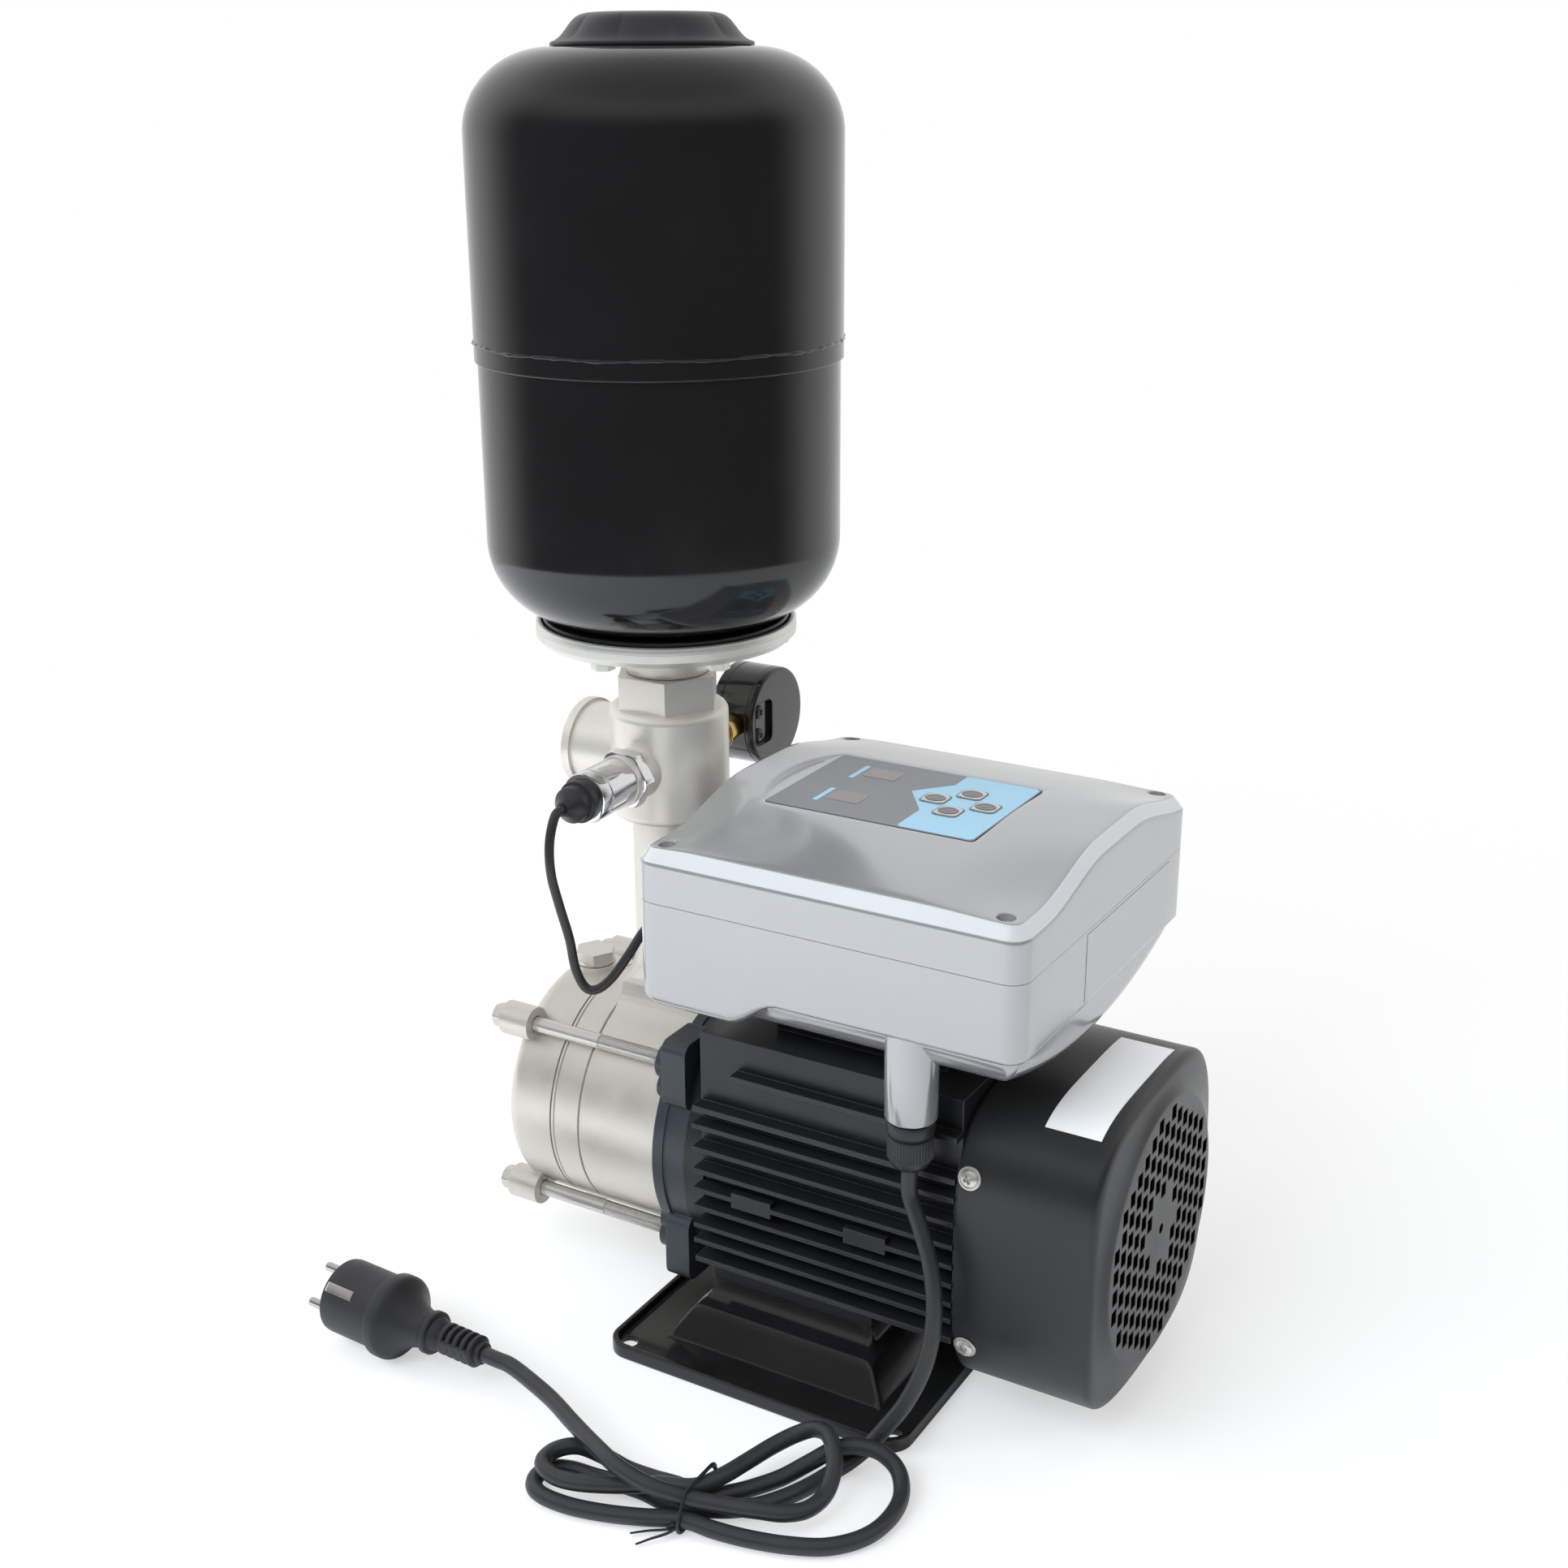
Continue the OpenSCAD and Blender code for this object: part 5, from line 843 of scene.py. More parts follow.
def make_earth_clips():
    """Sprung earth strips in the two sides of the plug's barrel, square to the pins."""
    bm = bmesh.new()
    levels = (
        (73.6, 18.2), (74.4, 19.2), (76, 19.4), (84, 19.5), (90, 19.3), (91.6, 18.9),
        (92.4, 18.0),
    )
    section = (
        (-2.6, 0.8), (-2.4, 0.15), (-1.2, 0.0), (0, 0.0), (1.2, 0.0), (2.4, 0.15),
        (2.6, 0.8), (0, 1.0),
    )
    for side in (90, 270):
        place = PLUG_PLACE @ Matrix.Rotation(PIN_ROLL + math.radians(side), 4, "Z")
        rings = [
            [
                bm.verts.new(place @ Vector((lift - drop, across, level)))
                for across, drop in section
            ]
            for level, lift in levels
        ]
        bridge(bm, rings)
        bm.faces.new(rings[0])
        bm.faces.new(reversed(rings[-1]))
    return add_detail("plug_earth_clips", bm, "pin_nickel")


plug_pieces = make_plug() + [make_pins(), make_earth_clips()]


def make_gland():
    """Cord gland: a smooth ring, a finely ribbed nut and a taper down to the cord."""
    bm = bmesh.new()
    place = Matrix.Translation(CORD_POINTS[0])
    ribs = 44
    closed_lathe(bm, place, [
        (4.0, 0.1), (5.6, 0), (6.8, 0.3), (8.2, 1.4), (9.2, 3.0), (9.9, 4.6), (10.2, 6.0),
        (10.4, 15.4), (10.2, 16.2), (9.3, 16.6), (9.1, 17.2), (9.3, 17.9), (10.7, 18.2),
        (11.0, 18.8), (11.1, 23.4), (10.8, 24.0), (9.8, 24.2), (9.6, 26.0), (4.0, 26.0),
    ], steps=72)
    for i in range(ribs):
        turn = Matrix.Rotation(TURN * i / ribs, 4, "Z")
        prism(
            bm, place @ turn @ Matrix.Translation((10.2, 0, 0)),
            [(-0.5, -0.4), (0.42, -0.25), (0.42, 0.25), (-0.5, 0.4)], 5.6, 15.6, 0.12,
        )
    stand_in("cord_gland_nut", bm, "cable_gland", 32)


make_gland()


# Fasteners

CORNERS = [(a, b) for a in (-1, 1) for b in (-1, 1)]


def hex_head(bm, place, across, height, washer=0.0):
    """Hex head with a chamfered crown, over a thin washer face."""
    corner = across / math.sqrt(3)
    if washer:
        lathe(bm, place, [
            (0, 0), (across * 0.63, 0), (across * 0.66, washer * 0.3),
            (across * 0.66, washer * 0.8), (across * 0.64, washer), (0, washer),
        ], steps=40)
    steps = 72
    rings = []
    for level, trim in (
        (washer, 0.985), (washer + height * 0.82, 0.985), (washer + height * 0.95, 0.93),
        (washer + height, 0.86),
    ):
        def spot_of(angle):
            flat = across / 2 / math.cos((angle % (TURN / 6)) - TURN / 12)
            return min(flat, corner * trim), level

        rings.append(angled_ring(bm, place, steps, spot_of))
    top = [bm.verts.new(place @ Vector((0, 0, washer + height)))]
    bridge(bm, rings + [top])
    bm.faces.new(reversed(rings[0]))


def threaded_rod(bm, place, radius, plain_to, end):
    """Rod that is plain up to a height and carries a helical thread beyond it."""
    pitch, thread_depth, sides = 1.25, 0.62, 32
    rings = []
    levels = [0.0, 0.4, plain_to - 0.4, plain_to]
    while levels[-1] < end:
        levels.append(levels[-1] + pitch / 4)
    for level in levels:
        def spot_of(angle):
            phase = (level / pitch - angle / TURN) % 1
            cut = thread_depth * abs(2 * phase - 1) if level > plain_to else 0
            return radius - cut, level

        rings.append(angled_ring(bm, place, sides, spot_of))
    bridge(bm, rings)
    bm.faces.new(reversed(rings[0]))
    bm.faces.new(rings[-1])


def make_tie_rods():
    """Four M8 rods with a hex head in front, threaded from half way to the bracket."""
    bm = bmesh.new()
    rod_off, head_depth, thread_x = 48.5, 6.9, -119
    low, high = box_mm("tie_bolts")
    for sy, sz in CORNERS:
        seat = Vector((low.x + head_depth, sy * rod_off, SHAFT_Z + sz * rod_off))
        hex_head(bm, along(seat, (-1, 0, 0), math.radians(12)), 11.4, 5.2, 1.6)
        threaded_rod(
            bm, along(seat, (1, 0, 0)), 4.0, thread_x - seat.x, high.x - low.x - head_depth,
        )
    stand_in("threaded_tie_rods", bm, "tie_bolts")


make_tie_rods()


# Controller housing, drawn as rings of one rounded rectangle

BOX_X, BOX_HALF_X, BOX_HALF_Y, BOX_R = 36.25, 97.75, 98.0, 10.0
SEAM_Z, SEAM_GAP, EDGE_Z, CROWN = 249.0, 0.03, 274.5, 12.0
PANEL_X, PANEL_Y, PANEL_L, PANEL_W, PANEL_Z = 27.0, 2.0, 108.0, 78.0, 284.3


def smooth_share(value, start, end):
    """Smooth step from 0 at the start to 1 at the end."""
    t = min(1.0, max(0.0, (value - start) / (end - start)))
    return t * t * (3 - 2 * t)


def blend_of(first, second, share):
    """Value between the first and the second, by the share."""
    return first + (second - first) * share


def blend_points(first, second, share):
    """Flat point between two points, by the share."""
    return blend_of(first[0], second[0], share), blend_of(first[1], second[1], share)


def rect_ring(centre, half_x, half_y, radius, along_x=40, along_y=24):
    """Points round a rectangle with round corners; every ring has the same count."""
    round_steps = 8

    def on_corner(sx, sy, degrees):
        angle = math.radians(degrees)
        return (
            centre[0] + sx * (half_x - radius) + radius * math.cos(angle),
            centre[1] + sy * (half_y - radius) + radius * math.sin(angle),
        )

    points = []
    corners = ((1, 1, along_x), (-1, 1, along_y), (-1, -1, along_x), (1, -1, along_y))
    for k, (sx, sy, count) in enumerate(corners):
        next_x, next_y, _ = corners[(k + 1) % 4]
        for i in range(round_steps):
            points.append(on_corner(sx, sy, 90 * k + 90 * i / round_steps))
        first = on_corner(sx, sy, 90 * k + 90)
        last = on_corner(next_x, next_y, 90 * k + 90)
        points += [blend_points(first, last, i / count) for i in range(count)]
    return points


def box_ring(inset):
    """Ring round the controller's plan, drawn in by the inset."""
    return rect_ring(
        (BOX_X, 0), BOX_HALF_X - inset, BOX_HALF_Y - inset, max(BOX_R - inset, 1.6),
    )


def lid_height(x, y):
    """Top of the lid: an arch over the keypad that turns into an S at both ends."""
    t = abs(y) / BOX_HALF_Y
    bent = 1 - (smooth_share(t, 0.1, 0.76) if y < 0 else smooth_share(t, 0.28, 1.0))
    right_end, left_end = (84, 131), (30, 60)
    at_end = max(smooth_share(x, *right_end), smooth_share(-x, *left_end))
    return EDGE_Z + CROWN * blend_of(1 - t * t, bent, at_end)


def wall_ring(inset, level):
    """Ring round the controller at one level."""
    return [(x, y, level) for x, y in box_ring(inset)]


def add_rings(bm, rings):
    """Join rings of (x, y, z) points; returns the rings of vertices."""
    made = [[bm.verts.new(p) for p in ring] for ring in rings]
    bridge(bm, made)
    return made


def fix_modifiers(made):
    """Turn a piece's modifiers into its mesh, then mark the sharp edges of that mesh."""
    bpy.context.view_layer.update()
    depsgraph = bpy.context.evaluated_depsgraph_get()
    result = bpy.data.meshes.new_from_object(made.evaluated_get(depsgraph))
    made.modifiers.clear()
    plain = made.data
    made.data = result
    bpy.data.meshes.remove(plain)
    smooth_mesh(result, 32)


def cut_with(made, cutter_bm):
    """Take the cutter's solids out of a piece, in millimetres, and keep the result."""
    cutter = mesh_object("cutter", cutter_bm)
    modifier = made.modifiers.new("cut", "BOOLEAN")
    modifier.operation = "DIFFERENCE"
    modifier.solver = "EXACT"
    modifier.object = cutter
    fix_modifiers(made)
    bpy.data.objects.remove(cutter)


LID_SCREWS = [(x, y) for x in (-48.5, 121.0) for y in (-87.5, 87.5)]


def make_lid():
    """Arched lid: a wall, a chamfer with a painted highlight, the top with the keypad's pocket,
    and its inside.
    """
    bm = bmesh.new()
    top_inset, bulge = 6.2, 9
    rings = [wall_ring(0.0, SEAM_Z + SEAM_GAP)]
    for inset, drop in (
        (0.0, 9.0), (0.0, 6.9), (0.14, 6.3), (0.5, 5.8), (0.8, 5.42), (4.1, 1.28),
        (4.4, 0.9), (4.9, 0.45), (5.5, 0.15), (top_inset, 0.0),
    ):
        rings.append([(x, y, lid_height(x, y) - drop) for x, y in box_ring(inset)])
    outer = box_ring(top_inset)

    def eyelid(points):
        """Bulge the pocket's left end out under the dome."""
        return [
            (x - bulge * max(0.0, 1 - ((y - PANEL_Y) / (PANEL_W / 2)) ** 2), y)
            if x < PANEL_X - PANEL_L / 2 + 0.5 else (x, y)
            for x, y in points
        ]

    rim = eyelid(rect_ring(
        (PANEL_X + 0.6, PANEL_Y), PANEL_L / 2 + 2.4, PANEL_W / 2 + 3.0, 4.0,
    ))
    steps = 14
    for k in range(1, steps + 1):
        spots = [blend_points(a, b, k / steps) for a, b in zip(outer, rim)]
        rings.append([(x, y, lid_height(x, y)) for x, y in spots])
    floor = rect_ring((PANEL_X, PANEL_Y), PANEL_L / 2 + 0.3, PANEL_W / 2 + 0.3, 2.2)
    for share, level in ((0.25, 0.06), (0.6, 0.5), (0.9, 0.94), (1.0, 1.0)):
        rings.append([
            (*blend_points(a, b, share), blend_of(lid_height(*a), PANEL_Z - 0.3, level))
            for a, b in zip(rim, eyelid(floor))
        ])
    tray_z, wall = 281.4, 3.0
    rings += [[(x, y, level) for x, y in floor] for level in (PANEL_Z - 0.2, tray_z)]
    inside = rect_ring((PANEL_X, PANEL_Y), PANEL_L / 2 + 4, PANEL_W / 2 + 4, 4.0)
    rings.append([(x, y, min(tray_z - 0.2, lid_height(x, y) - 6)) for x, y in inside])
    for inset, drop in ((7.0, 6), (wall, 8)):
        rings.append([(x, y, lid_height(x, y) - drop) for x, y in box_ring(inset)])
    rings.append(wall_ring(wall, SEAM_Z + SEAM_GAP))
    made = add_rings(bm, rings)
    count = len(made[0])
    bm.faces.ensure_lookup_table()
    # The chamfer's faces take the second material, a lighter copy of the paint: a painted
    # highlight.
    chamfer_from, chamfer_to = 4, 8
    for face in bm.faces[chamfer_from * count:chamfer_to * count]:
        face.material_index = 1
    bridge(bm, [made[-1], made[0]])
    lid = stand_in("controller_lid_shell", bm, "inverter_lid", 32)
    lid.data.materials.append(LID_CHAMFER_PAINTED_HIGHLIGHT)
    cutter = bmesh.new()
    for x, y in LID_SCREWS:
        lathe(cutter, Matrix.Translation((x, y, 0)), [
            (0, 270.6), (3.9, 270.6), (4.2, 271.4), (4.2, 274.6), (5.4, 276.4), (5.4, 279),
            (0, 279),
        ], steps=32)
    cut_with(lid, cutter)


def make_lid_screws():
    """Sunk pan heads with a cross recess, each in its well."""
    bm = bmesh.new()
    for x, y in LID_SCREWS:
        cross_head(bm, Matrix.Translation((x, y, 270.7)), 3.7, 2.0, 0.8)
    stand_in("lid_pan_screws", bm, "lid_screws", 30)


STEP_FROM, STEP_TO = -11.9, 14.1
SKIRT_Z, SKIRT_STEP, BELLY_Z, BELLY_RISE = 196, 15, 183, 18


def past_step(x):
    """Share of the step in the wall's lower edge that a place along the box has passed."""
    return smooth_share(x, STEP_FROM, STEP_TO)


def skirt_bottom(x):
    """Lower edge of the outer wall: it steps up a third of the way along."""
    return SKIRT_Z + SKIRT_STEP * past_step(x)


def belly_bottom(y):
    """Underside of the belly: lowest in the middle."""
    return BELLY_Z + BELLY_RISE * (y / BOX_HALF_Y) ** 2


def make_housing():
    """Lower housing: the outer wall with its stepped edge, the rounded belly and the stub."""
    bm = bmesh.new()
    rings = [
        wall_ring(0.35, SEAM_Z - 0.16), wall_ring(0.1, SEAM_Z - 0.1),
        wall_ring(0.0, SEAM_Z - 0.22), wall_ring(0.0, SEAM_Z - 2.4),
    ]
    lip, tuck, belly_r, left_r, right_r = 4.0, 4.2, 13.0, 7.0, 2.4
    for k in range(7):
        turn = math.pi / 2 * k / 6
        ring = []
        for a, b in zip(box_ring(0.0), box_ring(lip)):
            radius = blend_of(left_r, right_r, past_step(a[0]))
            share = radius * (1 - math.cos(turn)) / lip
            level = skirt_bottom(a[0]) + radius * (1 - math.sin(turn))
            ring.append((*blend_points(a, b, share), level))
        rings.append(ring)
    under = [
        (*blend_points(wall, a, past_step(a[0])), wall[2] + 0.3)
        for a, wall in zip(box_ring(tuck), rings[-1])
    ]
    rings.append(under)
    for k in range(9):
        turn = math.pi / 2 * k / 8
        share = smooth_share(k, 0, 3)
        rings.append([
            (
                *blend_points(wall, a, share),
                min(belly_bottom(a[1]) + belly_r * (1 - math.sin(turn)), wall[2] - 0.02 * k),
            )
            for a, wall in zip(box_ring(tuck + belly_r * (1 - math.cos(turn))), under)
        ])
    edge = rings[-1]
    for k in range(1, 9):
        scale = 1 - k / 8.6
        rings.append([
            (BOX_X + (x - BOX_X) * scale, y * scale, min(belly_bottom(y * scale), z))
            for x, y, z in edge
        ])
    made = add_rings(bm, rings)
    bm.faces.new(made[-1])
    deep, inner = add_rings(bm, [wall_ring(3.0, SEAM_Z - 12), wall_ring(3.0, SEAM_Z - 0.9)])
    bridge(bm, [inner, made[0]])
    bm.faces.new(deep)
    # Boss over the cord's gland, boss for the sensor's lead, neck down to the motor
    lathe(bm, Matrix.Translation((CORD_POINTS[0].x, CORD_POINTS[0].y, 0)), [
        (0, 168), (10.6, 168), (11.6, 168.3), (12, 169), (12.2, 190), (12.4, 210), (12.4, 228),
        (0, 228),
    ], steps=56)
    lathe(bm, along((-58, -70, 226), (-1, 0, 0)), [
        (0, 0), (5.6, 0), (5.0, 3.2), (4.8, 5.8), (4.2, 6.5), (2.4, 6.5), (0, 6.4),
    ], steps=32)
    neck_x, neck_w, neck_low, neck_high = 29, 90, 179, 205
    neck = Matrix.Translation((neck_x, 0, 0))
    prism(bm, neck, round_rect(neck_w, neck_w, 3), neck_low, neck_high)
    stand_in("controller_housing_shell", bm, "inverter_housing")


# Fan cover

COVER_MID = SHAFT_Z + 1.5
COVER_HALF, COVER_POWER = 75.5, 3.8
EDGE_X, EDGE_R, FACE_X = 159.4, 4.0, 167.0


def cover_ring(x, half, roundness=0.0):
    """Points round the cover's squared outline; roundness 1 makes it a circle."""
    points, count = [], 160
    for i in range(count):
        angle = TURN * i / count
        c, d = abs(math.cos(angle)), abs(math.sin(angle))
        squared = half / (c ** COVER_POWER + d ** COVER_POWER) ** (1 / COVER_POWER)
        reach = blend_of(squared, half, roundness)
        points.append((x, reach * math.cos(angle), COVER_MID + reach * math.sin(angle)))
    return points


def cover_reach(off):
    """Half width of the cover's outline at a height or width off its middle."""
    return COVER_HALF * (1 - (abs(off) / COVER_HALF) ** COVER_POWER) ** (1 / COVER_POWER)


def make_fan_cover():
    """Pressed sheet hood: a soft front edge and a flat face punched with staggered slots."""
    bm = bmesh.new()
    rings = [cover_ring(x, COVER_HALF) for x in (96, 97, 126, 158, EDGE_X)]
    for k in range(1, 9):
        turn = math.radians(78 * k / 8)
        rings.append(cover_ring(
            EDGE_X + EDGE_R * math.sin(turn), COVER_HALF - EDGE_R * (1 - math.cos(turn)),
            0.004 * k * k,
        ))
    for x, half, roundness in (
        (163.9, 70.2, 0.4), (164.7, 68.6, 0.66), (165.6, 67.2, 0.86), (166.5, 66.0, 0.97),
        (166.9, 65.2, 1.0), (FACE_X, 64.4, 1.0),
    ):
        rings.append(cover_ring(x, half, roundness))
    loops = [add_rings(bm, rings)[-1]]

    def hole(outline):
        loops.append([bm.verts.new((FACE_X, y, COVER_MID + z)) for y, z in outline])

    pitch_y, pitch_z, half_y, half_z = 8.2, 10.5, 3.0, 3.75
    hub_r, field_r, centre_r = 18.5, 63.2, 2.6
    for column in range(-8, 9):
        y = column * pitch_y
        for row in range(-7, 8):
            z = (row + 0.5 * (column % 2)) * pitch_z
            reach = math.hypot(abs(y) + half_y * 0.7, abs(z) + half_z * 0.7)
            if hub_r < math.hypot(y, z) and reach < field_r:
                hole([(y + a, z + b) for a, b in round_rect(2 * half_y, 2 * half_z, 0.5, 2)])
    hole(circle(centre_r, 20))
    edges = []
    for loop in loops:
        for a, b in zip(loop, loop[1:] + loop[:1]):
            edges.append(bm.edges.get((a, b)) or bm.edges.new((a, b)))
    bmesh.ops.triangle_fill(bm, use_beauty=True, use_dissolve=False, edges=edges)
    cover = stand_in("fan_cover_hood", bm, "fan_cover")
    sheet = cover.modifiers.new("sheet", "SOLIDIFY")
    sheet.thickness = 0.6 * MM
    sheet.offset = -1
    sheet.use_even_offset = False
    fix_modifiers(cover)


def cross_head(bm, place, radius, height, recess):
    """Pan head with a domed crown and a cross recess pressed into it."""
    steps, crown = 48, []
    levels = (
        (1.0, 0.0), (1.0, 0.32), (0.96, 0.55), (0.86, 0.76), (0.7, 0.9), (0.52, 0.97),
        (0.42, 1.0), (0.33, 1.0), (0.22, 1.0), (0.12, 1.0),
    )
    arm_reach, arm_half = 0.47, 0.13
    for share, rise in levels:
        def spot_of(angle):
            arm = share * min(abs(math.cos(angle)), abs(math.sin(angle)))
            sunk = recess if share < arm_reach and arm < arm_half else 0
            return share * radius, height * rise - sunk

        crown.append(angled_ring(bm, place, steps, spot_of))
    crown.append([bm.verts.new(place @ Vector((0, 0, height - recess)))])
    bridge(bm, crown)
    bm.faces.new(reversed(crown[0]))


def make_cover_screws():
    """Bright pan screws square to the cover's curved side."""
    bm = bmesh.new()
    low, high = box_mm("fan_cover_screws")
    screw_x, inset = 101, 4.4
    for side, up in CORNERS:
        z = high.z - inset if up > 0 else low.z + inset
        y = cover_reach(z - COVER_MID)
        slopes = [(at / COVER_HALF) ** (COVER_POWER - 1) for at in (y, abs(z - COVER_MID))]
        normal = Vector((0, side * slopes[0], up * slopes[1])).normalized()
        start = Vector((screw_x, side * y, z)) + normal * 0.1
        place = along(start, normal, 0.5)
        lathe(bm, place, [(0, 0), (5.6, 0), (5.7, 0.3), (5.5, 0.7), (4.4, 0.75)], steps=40)
        cross_head(bm, place @ Matrix.Translation((0, 0, 0.5)), 4.5, 2.3, 1.3)
    stand_in("cover_pan_screws", bm, "fan_cover_screws", 30)


# Base

BASE_HALF_X, BASE_HALF_Y, BASE_R, SHEET_Z = 84, 104, 12, 3.0
BASE_HOLES = [(x, y) for x in (-75, 75) for y in (-94, 94)]


def base_height(x, y):
    """Top of the pressed base, by x and by y: a flared step, then the motor's saddle."""
    step, lift = 20, 31.4

    def flank(at, foot, top, crest):
        if at >= foot:
            return SHEET_Z
        if at >= top:
            return SHEET_Z + (step - SHEET_Z) * ((foot - at) / (foot - top))
        if at <= crest:
            return lift
        share = (top - at) / (top - crest)
        return step + (lift - step) * (1 - math.sqrt(max(0.0, 1 - share ** 2)))

    return flank(abs(x), 61, 50, 45), flank(abs(y), 80, 70, 58)


def soft_min(a, b, width):
    """Smaller of two heights, with a fillet of the given width between them."""
    share = max(width - abs(a - b), 0.0) / width
    return min(a, b) - share * share * width * 0.25


def make_base():
    """Pressed sheet base with a rolled rim, flared step, saddle and four round holes."""
    bm = bmesh.new()

    def ring(inset, level=None, under=0.0):
        made = []
        for x, y in rect_ring(
            (0, 0), BASE_HALF_X - inset, BASE_HALF_Y - inset, max(BASE_R - inset, 2.0), 48, 60,
        ):
            z = max(SHEET_Z, soft_min(*base_height(x, y), 3.0)) if level is None else level
            made.append((x, y, z - under))
        return made

    rings = [ring(*spot) for spot in (
        (0.0, 0.0), (0.0, 6.0), (0.25, 6.6), (0.9, 7.0), (2.0, 7.0), (2.7, 6.7), (3.0, 6.0),
        (3.2, 3.8), (3.8, 3.1), (5.0,),
    )]
    inset = 8.0
    while inset < 76:
        rings.append(ring(inset))
        # Close rings where the sheet rises
        inset += 1.25 if 14 < inset < 52 else 5.0
    top = add_rings(bm, rings)
    bm.faces.new(top[-1])
    sheet, below_pitch = 2.9, 3.5
    below = [ring(3.0, 0.0), ring(3.2, 0.0)]
    below += [ring(6.0 + below_pitch * k, under=sheet) for k in range(19)]
    bottom = add_rings(bm, below)
    bridge(bm, [top[0], bottom[0]])
    bm.faces.new(bottom[-1])
    base = stand_in("pressed_base", bm, "base_plate", 40)
    cutter = bmesh.new()
    for x, y in BASE_HOLES:
        lathe(cutter, Matrix.Translation((x, y, 0)), [
            (0, -2), (4.5, -2), (4.5, 2.6), (5.0, 3.2), (5.4, 9), (0, 9),
        ], steps=32)
    cut_with(base, cutter)


# Sleeve, tank, cap and gauge

def make_sleeve():
    """Casing sleeve between two grooves, with a thin ring beside the first."""
    bm = bmesh.new()
    profile = [
        (62.0, -148), (62.0, -142.5), (63.2, -142.3), (63.4, -142.1), (63.4, -141.0),
        (63.2, -140.8), (62.5, -140.6), (62.5, -140.2), (63.3, -140.0), (63.5, -139.7),
        (63.5, -125.7), (63.3, -125.4), (62.2, -125.2), (62.2, -124.6), (62.0, -124.5),
        (62.0, -119), (60.6, -119), (60.6, -148),
    ]
    closed_lathe(bm, along((0, 0, SHAFT_Z), (1, 0, 0)), profile, 144)
    stand_in("grooved_sleeve", bm, "casing_sleeve", 30)


TANK_Z = 352.9
TANK_PLACE = Matrix.Translation((RISER_X, 0, TANK_Z))
UPPER_R, LOWER_R, TANK_SHEET, TANK_SEAM, BEAD_Z = 86.8, 85.35, 1.3, 128.5, 137.5
FOOT_R, BORE_R, RING_R = 46.5, 44.5, 60.5


def make_tank():
    """Two deep-drawn shells lapped at the seam, with an uneven weld bead above the lap."""
    bm = bmesh.new()
    outer = [(UPPER_R - 0.25, TANK_SEAM), (UPPER_R, TANK_SEAM + 0.3), (UPPER_R, 180),
             (UPPER_R, 226)]
    outer += arc_points((46, 229), (UPPER_R - 46, 37), 0, 90, 36)
    outer += [(40, 266.5), (28, 267.6), (16, 268.5), (9, 269)]
    closed_lathe(bm, TANK_PLACE, outer + [
        (r - TANK_SHEET * min(1.0, r / 40), z - TANK_SHEET) for r, z in reversed(outer[2:])
    ] + [(UPPER_R - TANK_SHEET, TANK_SEAM)], 192)
    stand_in("drawn_upper_shell", bm, "tank_upper_shell", 30)

    bm = bmesh.new()
    foot = arc_points((FOOT_R, 44), (LOWER_R - FOOT_R, 39), 270, 360, 36)
    outer = [(BORE_R, 0), (RING_R, 0), (RING_R, 4.6), (RING_R - 0.4, 5)] + foot
    outer += [(LOWER_R, 90), (LOWER_R, 138)]
    inner = [(LOWER_R - TANK_SHEET, 138), (LOWER_R - TANK_SHEET, 50)]
    inner += [(BORE_R + 20, 20), (BORE_R, 8)]
    closed_lathe(bm, TANK_PLACE, outer + inner, 192)
    stand_in("drawn_lower_shell", bm, "tank_lower_shell", 30)

    bm = bmesh.new()
    count = 300
    line, swell = [], []
    for i, (x, y) in enumerate(circle(UPPER_R - 0.25, count)):
        angle = TURN * i / count
        swell.append(
            0.8 + 0.2 * math.sin(23 * angle) + 0.16 * math.sin(57 * angle + 1)
            + 0.1 * math.sin(101 * angle)
        )
        line.append(Vector((RISER_X + x, y, TANK_Z + BEAD_Z + 0.25 * math.sin(11 * angle))))
    tube(bm, line, lambda share: swell[round(share * (count - 1)) % count], 10, closed=True)
    add_detail("tank_weld_bead", bm, "gloss_black_paint")


def make_flange_rim():
    """Rolled rim that stands up round the edge of the tank's flange."""
    bm = bmesh.new()
    low, high = box_mm("tank_flange")
    edge = (high.x - low.x) / 2
    closed_lathe(bm, Matrix.Translation((RISER_X, 0, high.z)), [
        (edge - 3.0, -0.1), (edge - 3.0, 2.2), (edge - 2.5, 3.0), (edge - 1.5, 3.3),
        (edge - 0.6, 3.0), (edge - 0.05, 2.2), (edge - 0.05, -0.1),
    ], 144)
    add_detail("flange_rolled_rim", bm, "zinc_plate")


